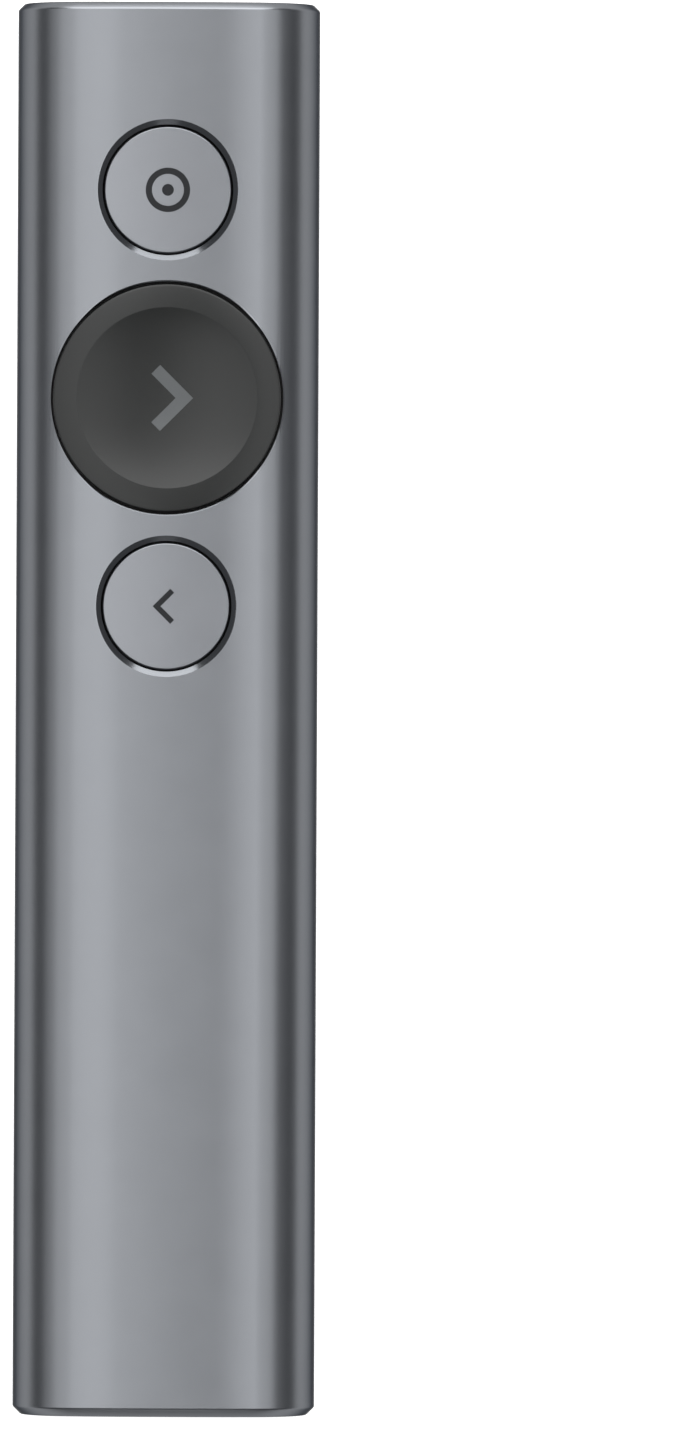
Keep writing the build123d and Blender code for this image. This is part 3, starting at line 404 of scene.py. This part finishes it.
def add_legs(bm, leg_radius, ceiling):
    """Three snap legs with hooks under a cap, each one outline given a width."""
    inner, tip = leg_radius - LEG_THICKNESS, leg_radius + HOOK_REACH
    hook_top, root = HOOK_BOTTOM + HOOK_HEIGHT, ceiling + LEG_ROOT
    bar = (
        (inner, HOOK_BOTTOM),
        (tip, HOOK_BOTTOM),
        (tip, hook_top),
        (leg_radius, hook_top),
        (leg_radius, root),
        (inner, root),
    )
    for turn in (-90, 30, 150):
        side = bm.faces.new([bm.verts.new((x, -LEG_WIDTH / 2, z)) for x, z in bar])
        drawn = bmesh.ops.extrude_face_region(bm, geom=[side], use_keep_orig=True)["geom"]
        bmesh.ops.translate(bm, vec=(0, LEG_WIDTH, 0), verts=verts_in(drawn))
        leg = [*side.verts, *verts_in(drawn)]
        around = Matrix.Rotation(radians(turn), 3, "Z")
        bmesh.ops.rotate(bm, cent=(0, 0, 0), matrix=around, verts=leg)
        skin = dict.fromkeys(face for corner in leg for face in corner.link_faces)
        bmesh.ops.recalc_face_normals(bm, faces=list(skin))


def small_button(name, y):
    """A small cap with its skirt, post and legs."""
    bm = bmesh.new()
    ceiling = SMALL_BOTTOM + SMALL_SKIRT
    side_top = SMALL_TOP - SMALL_EDGE
    end = underside(bm, SMALL_CAP, SMALL_BOTTOM, ceiling, SMALL_POST_END)
    for x, z in (
        (SMALL_CAP, side_top - 3 * EDGE_SOFT),
        (SMALL_CAP - 2 * EDGE_SOFT, side_top + EDGE_SOFT),
        (SMALL_CAP - SMALL_EDGE + 3 * EDGE_SOFT, SMALL_TOP - 2 * EDGE_SOFT),
        (SMALL_CAP - SMALL_EDGE - 2 * EDGE_SOFT, SMALL_TOP),
    ):
        end = line(bm, end, (x, 0, z))
    for ring in range(TOP_RINGS - 1, -1, -1):
        reach = (SMALL_CAP - 2 * SMALL_EDGE) * ring / (TOP_RINGS - 1)
        end = line(bm, end, (reach, 0, SMALL_TOP))
    lathe(bm)
    follow_crown(bm, SMALL_BOTTOM + SMALL_BEND)
    add_legs(bm, SMALL_LEG_RADIUS, ceiling)
    bmesh.ops.translate(bm, vec=(0, y, 0), verts=bm.verts)
    return new_object(name, bm)


pointer_cap = small_button("pointer_cap", POINTER_Y)
back_cap = small_button("back_cap", BACK_Y)
print("small caps:", len(pointer_cap.data.polygons), "faces each, before the marks")

# %% [markdown]
# ## The large button
#
# The middle button is a near-black moulding: a ring with a soft fall around a round dish that the
# thumb finds by itself. On the lathe the dish is one arc and the ring another, with a small round
# between them. Bent along the crown, the dish stays round at its rim and gets shallower across,
# as a dish in a crowned cap does.

# %% Large button
LARGE_CREST, LARGE_BOTTOM, LARGE_CAP, LARGE_SKIRT = 12.2, 9.8, 10.55, 0.5
LARGE_POST_END, LARGE_BEND = 8.67, 1.2
DISH_RADIUS, DISH_DEPTH, DISH_LIP = 8.4, 0.9, 0.03
RING_FALL, RING_ARC, RING_ROUND = 0.14, 27.0, 0.12
dish_arc = (DISH_RADIUS**2 + DISH_DEPTH**2) / (2 * DISH_DEPTH)
dish_turn = asin(DISH_RADIUS / dish_arc)
dish_z = LARGE_CREST - DISH_DEPTH


def dish_height(x, y):
    """The dish's surface at a place measured from the button's middle."""
    rise = dish_arc - sqrt(dish_arc**2 - x**2 - y**2)
    return dish_z + rise - crown_drop(x)


def large_button(name, y):
    """The dished cap with its skirt, post and legs."""
    bm = bmesh.new()
    ceiling = LARGE_BOTTOM + LARGE_SKIRT
    side_top = LARGE_CREST - RING_FALL - RING_ROUND
    end = underside(bm, LARGE_CAP, LARGE_BOTTOM, ceiling, LARGE_POST_END)
    end = line(bm, end, (LARGE_CAP, 0, side_top))
    end = arc(bm, end, (LARGE_CAP - RING_ROUND, 0, side_top), -radians(84), 5)
    ring_start, ring_end = Vector(end.co), Vector((DISH_RADIUS + DISH_LIP, 0, LARGE_CREST))
    chord = ring_end - ring_start
    sag = sqrt(RING_ARC**2 - chord.length_squared / 4)
    inwards = Vector((-chord.z, 0, chord.x)).normalized()
    ring_turn = 2 * asin(chord.length / 2 / RING_ARC)
    end = arc(bm, end, (ring_start + ring_end) / 2 + sag * inwards, -ring_turn, 14)
    end = line(bm, end, (DISH_RADIUS, 0, LARGE_CREST))
    arc(bm, end, (0, 0, dish_z + dish_arc), dish_turn, 28)
    lathe(bm, 192)
    follow_crown(bm, LARGE_BOTTOM + LARGE_BEND)
    add_legs(bm, LARGE_LEG_RADIUS, ceiling)
    bmesh.ops.translate(bm, vec=(0, y, 0), verts=bm.verts)
    return new_object(name, bm)


next_cap = large_button("next_cap", NEXT_Y)
print("dish arc radius, mm:", round(dish_arc, 2))

# %% [markdown]
# ## The marks
#
# Each cap carries a small inlaid mark: a ring with a dot, and two arrow heads of different size.
# A mark is first a flat patch of faces, which extrude gives a depth. The same patch serves twice.
# Made taller, it cuts the pocket into the cap; then it fills the pocket, a hundredth of a
# millimetre below the cap's surface, so that its outline stays sharp at any distance.

# %% Marks
MARK_DEPTH, MARK_SINK, POCKET_TOP = 0.3, 0.012, 0.5
RING_INNER, RING_OUTER, DOT_RADIUS = 1.48, 2.06, 0.55


def small_height(x, y):
    """A small cap's surface at a place measured from the button's middle."""
    return SMALL_TOP - crown_drop(x)


def ring_and_dot(bm):
    """The pointer mark, flat."""
    line(bm, bm.verts.new((RING_INNER, 0, 0)), (RING_OUTER, 0, 0))
    lathe(bm, 96)
    bmesh.ops.create_circle(bm, cap_ends=True, segments=48, radius=DOT_RADIUS)


def arrow_head(height, stroke, tip, direction):
    """Gives a function that draws a right-angled arrow head, flat."""
    step, half = stroke / sqrt(2), height / 2

    def draw(bm):
        for side in (1, -1):
            bar = [
                (tip, 0), (tip - half, side * half),
                (tip - half - step, side * (half - step)), (tip - 2 * step, 0),
            ]
            bm.faces.new([bm.verts.new((direction * x, y, 0)) for x, y in bar])
        bmesh.ops.remove_doubles(bm, verts=bm.verts, dist=HAIR)
        bmesh.ops.subdivide_edges(bm, edges=bm.edges, cuts=7, use_grid_fill=True)

    return draw


def mark_solid(name, y, draw, height, top):
    """A mark with its depth: its top lies by top above the surface of its cap."""
    bm = bmesh.new()
    draw(bm)
    flat = bm.verts[:]
    raised = bmesh.ops.extrude_face_region(bm, geom=bm.faces[:])["geom"]
    for vert in flat:
        vert.co.z = height(vert.co.x, vert.co.y) - MARK_DEPTH
    for vert in verts_in(raised):
        vert.co.z = height(vert.co.x, vert.co.y) + top
    bmesh.ops.recalc_face_normals(bm, faces=bm.faces)
    bmesh.ops.translate(bm, vec=(0, y, 0), verts=bm.verts)
    return new_object(name, bm)


forward = arrow_head(height=6.13, stroke=1.15, tip=2.42, direction=1)
backward = arrow_head(height=3.27, stroke=0.52, tip=1.25, direction=-1)
small_slots, large_slots = ("button_anodised", "mark_dark"), ("button_black", "mark_grey")

for button, cap, y, draw, height, (slot, mark_slot) in (
    ("pointer", pointer_cap, POINTER_Y, ring_and_dot, small_height, small_slots),
    ("next", next_cap, NEXT_Y, forward, dish_height, large_slots),
    ("back", back_cap, BACK_Y, backward, small_height, small_slots),
):
    carve(cap, [mark_solid("pocket", y, draw, height, POCKET_TOP)], crisp_angle=10)
    settle(cap, f"{button}_body", slot, f"{button}_button")
    mark = mark_solid(f"{button}_inlay", y, draw, height, -MARK_SINK)
    settle(mark, f"{button}_body", mark_slot, f"{button}_mark")

# %% [markdown]
# ## The two ends
#
# The nose is closed by a moulded cap with a clear light pipe in its middle. At the tail a thin trim
# plate frames the receiver, whose end cap has a groove for a fingernail. All of them are moulded,
# so their edges are a little rounder than the metal's. The cap and the plate use the tube's own
# outline, set inwards by the wall and a sliding fit. The nose cap's two tongues reach back beside
# the frame and hold it.

# %% Nose cap
SLIDING_FIT, FACE_SETBACK = 0.05, 0.3
FIT_INSET = WALL + SLIDING_FIT
NOSE_FACE, TAIL_FACE = nose_y - FACE_SETBACK, tail_y + FACE_SETBACK
MID_Z = THICKNESS / 2
NOSE_DEPTH, NOSE_WALL, NOSE_HOLLOW, MOULD_BREAK = 3, 1.2, 1.8, 0.15
PIPE_HOLE, PIPE_Z = 0.62, 6.35
TONGUE_INNER, TONGUE_OUTER, TONGUE_LOW, TONGUE_HIGH = 11.2, 12.05, 3.1, 4.7
TONGUE_END, TONGUE_ROOT, TONGUE_BREAK = 7.4, 0.6, 0.1


def rod(name, radius, middle, length, tilt_axis):
    """An upright cylinder for cutting, laid down by a quarter turn around X or Y."""
    bm = bmesh.new()
    bmesh.ops.create_cone(
        bm, cap_ends=True, segments=64, radius1=radius, radius2=radius, depth=length,
        matrix=Matrix.Translation(middle) @ Matrix.Rotation(pi / 2, 4, tilt_axis),
    )
    return new_object(name, bm)


def add_block(bm, low, high):
    """A block between two corners."""
    middle = (Vector(low) + Vector(high)) / 2
    size = Matrix.Diagonal((*(Vector(high) - Vector(low)), 1))
    bmesh.ops.create_cube(bm, size=1, matrix=Matrix.Translation(middle) @ size)


def round_edges(bm, edges, offset, segments):
    """Rounds the given edges."""
    bmesh.ops.bevel(
        bm, geom=edges, offset=offset, segments=segments, profile=0.5, affect="EDGES", material=-1
    )


cap_mould = bmesh.new()
rear = press(cap_mould, NOSE_FACE - NOSE_DEPTH, FIT_INSET, [NOSE_DEPTH])[0]
narrow(cap_mould, rear, NOSE_WALL)
push(cap_mould, rear, NOSE_HOLLOW)
break_corners(cap_mould, MOULD_BREAK)
nose_cap = new_object("nose_cap_moulded", cap_mould)
carve(nose_cap, [rod("pipe_cutter", PIPE_HOLE, (0, NOSE_FACE, PIPE_Z), 4, "X")])
settle(nose_cap, "clicker", "dark_plastic", "nose_cap")

tongues = bmesh.new()
for inner, outer in ((TONGUE_INNER, TONGUE_OUTER), (-TONGUE_OUTER, -TONGUE_INNER)):
    low = (inner, NOSE_FACE - TONGUE_END, TONGUE_LOW)
    add_block(tongues, low, (outer, NOSE_FACE - TONGUE_ROOT, TONGUE_HIGH))
round_edges(tongues, tongues.edges[:], TONGUE_BREAK, 2)
settle(new_object("nose_cap_tongues", tongues), "clicker", "dark_plastic")

# %% Tail trim and receiver cap
RECEIVER_WIDTH, RECEIVER_HEIGHT, RECEIVER_CORNER, RECEIVER_ROUND = 14.8, 6.6, 1.0, 0.25
TRIM_THICKNESS, TRIM_BREAK = 0.7, 0.12
RECEIVER_CAP_THICKNESS, RECEIVER_CLEARANCE = 1.6, 0.2
GROOVE_RADIUS, GROOVE_SETBACK, GROOVE_WIDTH = 0.9, 0.3, 9


def rounded_block(name, spread, y_low, y_high, end_round=0):
    """The receiver's rounded section along Y, spread on all sides, with a softer tail end."""
    bm = bmesh.new()
    x, z = RECEIVER_WIDTH / 2 + spread, RECEIVER_HEIGHT / 2 + spread
    add_block(bm, (-x, y_low, MID_Z - z), (x, y_high, MID_Z + z))
    lengthwise = [e for e in bm.edges if abs(e.verts[0].co.y - e.verts[1].co.y) > HAIR]
    round_edges(bm, lengthwise, RECEIVER_CORNER + spread, 10)
    if end_round:
        rim = [e for e in bm.edges if all(v.co.y < y_low + HAIR for v in e.verts)]
        round_edges(bm, rim, end_round, 4)
    return new_object(name, bm)


plate = bmesh.new()
press(plate, TAIL_FACE, FIT_INSET, [TRIM_THICKNESS])
break_corners(plate, TRIM_BREAK)
trim = new_object("tail_trim_plate", plate)
carve(trim, [rounded_block("opening", RECEIVER_CLEARANCE, TAIL_FACE - 1, TAIL_FACE + 2)])
settle(trim, "clicker", "dark_plastic", "tail_trim")

receiver_cap = rounded_block(
    "receiver_end", 0, TAIL_FACE, TAIL_FACE + RECEIVER_CAP_THICKNESS, RECEIVER_ROUND
)
groove_middle = (0, TAIL_FACE - GROOVE_SETBACK, MID_Z)
carve(receiver_cap, [rod("nail_groove", GROOVE_RADIUS, groove_middle, GROOVE_WIDTH, "Y")])
settle(receiver_cap, "receiver", "receiver_plastic", "receiver_cap")

# %% [markdown]
# ## The snap domes
#
# Under each plunger lies a thin domed disc of spring steel. Pressed, it flips nearly flat with a
# click, so it is the one piece of a switch that changes shape. On the lathe it is two arcs about
# one centre.

# %% Snap domes
DOME_SHEET, SMALL_STROKE, LARGE_STROKE = 0.08, 0.4, 0.5


def snap_dome(button, y):
    """A switch's dome, drawn to fit its node's box."""
    low, high = (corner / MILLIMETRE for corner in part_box(f"{button}_dome"))
    crest = high.z - low.z
    sphere = (high.x**2 + crest**2) / (2 * crest)
    centre = (0, 0, high.z - sphere)
    bm = bmesh.new()
    rim = arc(bm, bm.verts.new((0, 0, high.z)), centre, asin(high.x / sphere), 12)
    inner_rim = sqrt((sphere - DOME_SHEET) ** 2 - (sphere - crest) ** 2)
    rim = line(bm, rim, (inner_rim, 0, low.z))
    arc(bm, rim, centre, -asin(inner_rim / (sphere - DOME_SHEET)), 12)
    lathe(bm, 64)
    bmesh.ops.translate(bm, vec=(0, y, 0), verts=bm.verts)
    dome = new_object(f"{button}_snap_dome", bm)
    settle(dome, "clicker", "spring_steel", f"{button}_dome")
    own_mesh(dome)


snap_dome("pointer", POINTER_Y)
snap_dome("next", NEXT_Y)
snap_dome("back", BACK_Y)

# %% [markdown]
# ## Finishes
#
# One function mixes every finish, because they differ in the same few things: colour and how much
# it wanders, roughness, and how coarse and deep the grain is. Colour and gloss wander together from
# patch to patch, a few millimetres wide, as they do where a bath or a mould worked a little
# unevenly. The fine grain only tilts the surface. Both are noise on object coordinates, so a
# pattern has the same size on every piece.

# %% Finish function
NOISE_LOW, NOISE_HIGH, GLOSS_WANDER = 0.3, 0.7, 0.015
finishes = {}


def finish(
    slot, colour, roughness, metallic=0.0, wander=0.06, grain=0.3, depth=0.01, patch=4.0, **sockets
):
    """A slot's material. In millimetres: the size of grain and patch, and the grain's depth."""
    material = bpy.data.materials.new(slot + "_finish")
    material.use_nodes = True
    nodes, links = material.node_tree.nodes, material.node_tree.links
    shader = nodes["Principled BSDF"]
    shader.inputs["Metallic"].default_value = metallic
    for socket, value in sockets.items():
        shader.inputs[socket.replace("_", " ")].default_value = value
    coords = nodes.new("ShaderNodeTexCoord")

    patches = nodes.new("ShaderNodeTexNoise")
    patches.inputs["Scale"].default_value = 1 / (patch * MILLIMETRE)
    patches.inputs["Detail"].default_value = 3
    links.new(coords.outputs["Object"], patches.inputs["Vector"])
    grains = nodes.new("ShaderNodeTexNoise")
    grains.inputs["Scale"].default_value = 1 / (grain * MILLIMETRE)
    grains.inputs["Detail"].default_value = 2
    links.new(coords.outputs["Object"], grains.inputs["Vector"])

    tint = nodes.new("ShaderNodeValToRGB")
    for stop, position, strength in zip(
        tint.color_ramp.elements, (NOISE_LOW, NOISE_HIGH), (1 - wander, 1 + wander)
    ):
        stop.position = position
        stop.color = (*[channel * strength for channel in colour], 1)
    links.new(patches.outputs["Fac"], tint.inputs["Fac"])
    links.new(tint.outputs["Color"], shader.inputs["Base Color"])

    gloss = nodes.new("ShaderNodeMapRange")
    gloss.inputs["From Min"].default_value = NOISE_LOW
    gloss.inputs["From Max"].default_value = NOISE_HIGH
    gloss.inputs["To Min"].default_value = roughness * (1 - GLOSS_WANDER)
    gloss.inputs["To Max"].default_value = roughness * (1 + GLOSS_WANDER)
    links.new(patches.outputs["Fac"], gloss.inputs["Value"])
    links.new(gloss.outputs["Result"], shader.inputs["Roughness"])

    bump = nodes.new("ShaderNodeBump")
    bump.inputs["Strength"].default_value = 1.0
    bump.inputs["Distance"].default_value = depth * MILLIMETRE
    links.new(grains.outputs["Fac"], bump.inputs["Height"])
    links.new(bump.outputs["Normal"], shader.inputs["Normal"])
    finishes[slot] = material
    return material


# %% [markdown]
# ## The outer finishes
#
# The tube is bead-blasted and dyed slate grey: a metal whose dye sits in a fine matt skin. Light
# that grazes it takes a longer way through the dye and comes back darker, where bare metal would
# turn bright, and the specular tint says so. The small caps have the same skin, blasted a little
# finer. The large cap is near-black moulded plastic with a fine spark-eroded texture, and the marks
# are filled with satin ink.

# %% Outer finishes
DARK_GRAZE = (0.2, 0.2, 0.2, 1)
finish(
    "anodised_tube", (0.144, 0.150, 0.160), 0.30, metallic=1.0,
    wander=0.015, grain=0.16, depth=0.0016, Specular_Tint=DARK_GRAZE,
)
finish(
    "button_anodised", (0.158, 0.164, 0.175), 0.30, metallic=1.0,
    wander=0.012, grain=0.16, depth=0.0014, Specular_Tint=DARK_GRAZE,
)
finish(
    "button_black", (0.004, 0.0046, 0.0043), 0.30,
    wander=0.08, grain=0.14, depth=0.0018, Specular_IOR_Level=0.28,
)
finish(
    "mark_dark", (0.012, 0.0125, 0.014), 0.5,
    wander=0.1, grain=0.1, depth=0.001, Specular_IOR_Level=0.1,
)
finish(
    "mark_grey", (0.068, 0.072, 0.074), 0.5,
    wander=0.06, grain=0.1, depth=0.001, Specular_IOR_Level=0.15,
)
finish("dark_plastic", (0.018, 0.018, 0.019), 0.5, wander=0.12, grain=0.14, depth=0.004)
finish("receiver_plastic", (0.02, 0.02, 0.021), 0.45, wander=0.12, grain=0.14, depth=0.003)
print(len(finishes), "outer finishes")

# %% [markdown]
# The rims of the button holes are cut by a diamond tool after the blasting. They keep the tube's
# colour but are smoother, so they show a brighter sickle towards the light and a darker one away
# from it. A rim is what lies within its own radius of a button's axis, seen from above.

# %% Cut rims
CUT_SMOOTHNESS, RIM_MARGIN = 0.38, 0.01
tube_tree = finishes["anodised_tube"].node_tree
tube_roughness = tube_tree.nodes["Principled BSDF"].inputs["Roughness"]


def math_node(kind, operation, *feeds):
    """A math node in the tube's finish. Each feed is a socket to follow or a value to keep."""
    node = tube_tree.nodes.new(kind)
    node.operation = operation
    for place, feed in zip(node.inputs, feeds):
        if isinstance(feed, bpy.types.NodeSocket):
            tube_tree.links.new(feed, place)
        else:
            place.default_value = feed
    return node


tube_place = tube_tree.nodes.new("ShaderNodeTexCoord").outputs["Object"]
flat_place = math_node("ShaderNodeVectorMath", "MULTIPLY", tube_place, (1, 1, 0)).outputs["Vector"]
rims = (
    (POINTER_Y, SMALL_HOLE + SMALL_CHAMFER),
    (NEXT_Y, LARGE_HOLE + LARGE_CHAMFER),
    (BACK_Y, SMALL_HOLE + SMALL_CHAMFER),
)
for y, reach in rims:
    axis_place, rim_reach = (0, y * MILLIMETRE, 0), (reach + RIM_MARGIN) * MILLIMETRE
    away = math_node("ShaderNodeVectorMath", "DISTANCE", flat_place, axis_place)
    on_rim = math_node("ShaderNodeMath", "LESS_THAN", away.outputs["Value"], rim_reach)
    factor = math_node(
        "ShaderNodeMath", "MULTIPLY_ADD", on_rim.outputs["Value"], -CUT_SMOOTHNESS, 1
    )
    outside = tube_roughness.links[0].from_socket
    smoother = math_node("ShaderNodeMath", "MULTIPLY", outside, factor.outputs["Value"])
    tube_tree.links.new(smoother.outputs["Value"], tube_roughness)
print("cut rims:", len(rims))

# %% [markdown]
# ## The inner finishes
#
# Inside are the materials of any small electronic device. They are seen when a part is taken out,
# so each gets its own colour, gloss and grain.

# %% Inner finishes
finish("black_plastic", (0.015, 0.015, 0.016), 0.55, wander=0.12, grain=0.2, depth=0.004)
finish(
    "clear_pipe", (0.85, 0.87, 0.9), 0.15,
    wander=0.02, depth=0.001, Transmission_Weight=0.85, IOR=1.49,
)
finish("screw_steel", (0.08, 0.08, 0.085), 0.35, metallic=1.0, wander=0.15, grain=0.08, depth=0.001)
finish("spring_steel", (0.55, 0.54, 0.52), 0.28, metallic=1.0, wander=0.05, grain=0.1, depth=0.001)
finish("tinned_steel", (0.62, 0.62, 0.61), 0.32, metallic=1.0, wander=0.05, grain=0.25, depth=0.001)
finish("weight_steel", (0.32, 0.31, 0.3), 0.42, metallic=1.0, wander=0.1, grain=0.2, depth=0.003)
finish("circuit_board", (0.012, 0.055, 0.028), 0.38, wander=0.15, grain=0.3, depth=0.003, patch=2.0)
finish("switch_plastic", (0.03, 0.03, 0.032), 0.45, wander=0.1, grain=0.15, depth=0.003)
finish("chip_black", (0.025, 0.025, 0.027), 0.5, wander=0.12, grain=0.06, depth=0.002)
finish("ceramic_tan", (0.42, 0.33, 0.22), 0.5, wander=0.08, grain=0.08, depth=0.001)
finish("ceramic_white", (0.7, 0.68, 0.63), 0.45, wander=0.04, grain=0.1, depth=0.001)
finish("led_lens", (0.8, 0.82, 0.78), 0.2, wander=0.03, grain=0.2, depth=0.001)
finish("cell_pouch", (0.5, 0.51, 0.52), 0.33, metallic=1.0, wander=0.05, grain=0.5, depth=0.006)
finish("foam_tape", (0.035, 0.035, 0.037), 0.9, wander=0.2, grain=0.15, depth=0.02)
finish("red_wire", (0.42, 0.018, 0.015), 0.42, wander=0.05, grain=0.2, depth=0.002)
finish("black_wire", (0.015, 0.015, 0.016), 0.42, wander=0.05, grain=0.2, depth=0.002)
finish("connector_white", (0.62, 0.6, 0.54), 0.45, wander=0.03, grain=0.2, depth=0.002)
finish("boot_rubber", (0.02, 0.02, 0.021), 0.75, wander=0.15, grain=0.2, depth=0.006)
finish("contact_gold", (0.78, 0.53, 0.2), 0.25, metallic=1.0, wander=0.04, grain=0.2, depth=0.001)
for node in frame["nodes"].values():
    for place in node.material_slots:
        place.material = finishes[place.material.name]
for piece in bpy.context.scene.objects:
    if piece.type == "MESH" and not piece.data.materials and piece.get("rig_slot"):
        piece.data.materials.append(finishes[piece["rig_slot"]])
print(len(finishes), "finishes")

# %% [markdown]
# ## The table
#
# The clicker lies on a light table. The sheet glows evenly white around the clicker and fades
# beyond it: a sheet that glowed to its edge would shine into the metal's sides from all around and
# wash out the dark bands along the shoulders.

# %% Table
TABLE_HALF = 20000
GLOW_NEAR, GLOW_FAR, GLOW_BRIGHT, GLOW_DIM = 0.08, 0.22, 0.85, 0.1

table_mesh = bmesh.new()
bmesh.ops.create_grid(table_mesh, x_segments=8, y_segments=8, size=TABLE_HALF)
table = new_object("table", table_mesh)
white = bpy.data.materials.new("white_table")
white.use_nodes = True
table_nodes, table_links = white.node_tree.nodes, white.node_tree.links
table_shader = table_nodes["Principled BSDF"]
table_shader.inputs["Base Color"].default_value = (0.4, 0.4, 0.4, 1)
table_shader.inputs["Roughness"].default_value = 0.9
table_shader.inputs["Specular IOR Level"].default_value = 0.1
table_shader.inputs["Emission Color"].default_value = (1, 1, 1, 1)
table_coords = table_nodes.new("ShaderNodeTexCoord")
from_middle = table_nodes.new("ShaderNodeVectorMath")
from_middle.operation = "LENGTH"
table_links.new(table_coords.outputs["Object"], from_middle.inputs[0])
glow = table_nodes.new("ShaderNodeMapRange")
glow.interpolation_type = "SMOOTHSTEP"
glow.inputs["From Min"].default_value = GLOW_NEAR
glow.inputs["From Max"].default_value = GLOW_FAR
glow.inputs["To Min"].default_value = GLOW_BRIGHT
glow.inputs["To Max"].default_value = GLOW_DIM
table_links.new(from_middle.outputs["Value"], glow.inputs["Value"])
table_links.new(glow.outputs["Result"], table_shader.inputs["Emission Strength"])
table.data.materials.append(white)
print("table's glow fades between, mm:", round(GLOW_NEAR * 1000), "and", round(GLOW_FAR * 1000))

# %% [markdown]
# ## The camera
#
# A long lens looks straight down from a metre and a half, so that the clicker's sides stay nearly
# parallel. Its scale holds at the height where the tube is widest. The clicker lies left of the
# middle and turned by a quarter of a degree, as an object laid down by hand does, and the camera
# takes both on, so that the model keeps its own straight axes.

# %% Camera
PICTURE_WIDTH, PICTURE_HEIGHT = 686, 1439
MIDDLE_X, MIDDLE_Y = 166.35, 709.5
CAMERA_HEIGHT, PIXELS_PER_MM, WIDEST_Z = 1500.0, 10.735, 5.3
SENSOR_HEIGHT = 36
ROLL = radians(0.257)

lens = bpy.data.cameras.new("long_lens")
lens.sensor_fit = "VERTICAL"
lens.sensor_height = SENSOR_HEIGHT
focal_pixels = PIXELS_PER_MM * (CAMERA_HEIGHT - WIDEST_Z)
lens.lens = SENSOR_HEIGHT * focal_pixels / PICTURE_HEIGHT
lens.clip_start, lens.clip_end = 0.01, 100
camera = bpy.data.objects.new("camera", lens)
bpy.context.scene.collection.objects.link(camera)
aside = (PICTURE_WIDTH / 2 - MIDDLE_X) / PIXELS_PER_MM
ahead = (MIDDLE_Y - PICTURE_HEIGHT / 2) / PIXELS_PER_MM
offset = Matrix.Rotation(ROLL, 3, "Z") @ Vector((aside, ahead, 0))
camera.location = (offset + Vector((0, 0, CAMERA_HEIGHT))) * MILLIMETRE
camera.rotation_euler = (0, 0, ROLL)
bpy.context.scene.camera = camera
print("lens, mm:", round(lens.lens, 1))
print("camera at, mm:", [round(1000 * c, 2) for c in camera.location])

# %% [markdown]
# ## The lights
#
# Blasted metal shows mostly what stands around it, so the lights are nine large soft panels, four
# metres away, and each draws one part of the picture that the tube reflects. Each is given by the
# angles that it spans, away from straight overhead:
#
# - two walls, one above each side, give the wide even stretches of the front;
# - two strips beside the overhead line are brighter, and the gap that they leave open is the darker
#   stripe right of the middle;
# - two faint edges, further down, lift the shoulders' dark bands a little, the left one more;
# - the nose panel lights the front of each round and chamfer that leans towards the nose;
# - a low nose panel and a small low tail panel lie near the table, where only the steep chamfers
#   around the buttons look.
#
# A dim grey studio fills the rest, and keeps the dark bands from going black.

# %% Lights
PANEL_DISTANCE = 4.0
STUDIO_GREY, STUDIO_STRENGTH = (0.5, 0.51, 0.53, 1), 0.45


def softbox(name, across, along, brightness):
    """A soft panel facing the clicker. It spans degrees from overhead, towards +X and +Y."""
    tilt_x, tilt_y = (radians(sum(span) / 2) for span in (across, along))
    direction = Vector((tan(tilt_x), tan(tilt_y), 1)).normalized()
    sizes = [2 * PANEL_DISTANCE * tan(radians(high - low) / 2) for low, high in (across, along)]
    panel = bpy.data.lights.new(name, "AREA")
    panel.shape = "RECTANGLE"
    panel.size, panel.size_y = sizes
    panel.energy = brightness * pi * sizes[0] * sizes[1]
    lamp = bpy.data.objects.new(name, panel)
    bpy.context.scene.collection.objects.link(lamp)
    lamp.location = direction * PANEL_DISTANCE
    lamp.rotation_euler = (-tilt_y, tilt_x, 0)
    lamp.visible_camera = False
    print(name, "m across and along:", [round(size, 2) for size in sizes])


softbox("left_edge", (-66, -48), (-20, 22), 0.8)
softbox("left_wall", (-48, -15), (-20, 22), 1.75)
softbox("left_strip", (-15, -2), (-20, 22), 3.3)
softbox("right_strip", (10, 18), (-20, 22), 3.7)
softbox("right_wall", (18, 50), (-20, 22), 1.75)
softbox("right_edge", (52, 70), (-20, 22), 0.2)
softbox("nose_panel", (-28, 28), (20, 76), 5.2)
softbox("low_nose_panel", (-26, 26), (76, 89), 4.1)
softbox("low_tail_panel", (-8, 8), (-80, -69), 2.0)

world = bpy.data.worlds.new("studio")
world.use_nodes = True
background = world.node_tree.nodes["Background"]
background.inputs["Color"].default_value = STUDIO_GREY
background.inputs["Strength"].default_value = STUDIO_STRENGTH
bpy.context.scene.world = world
bpy.context.scene.view_settings.view_transform = "Standard"
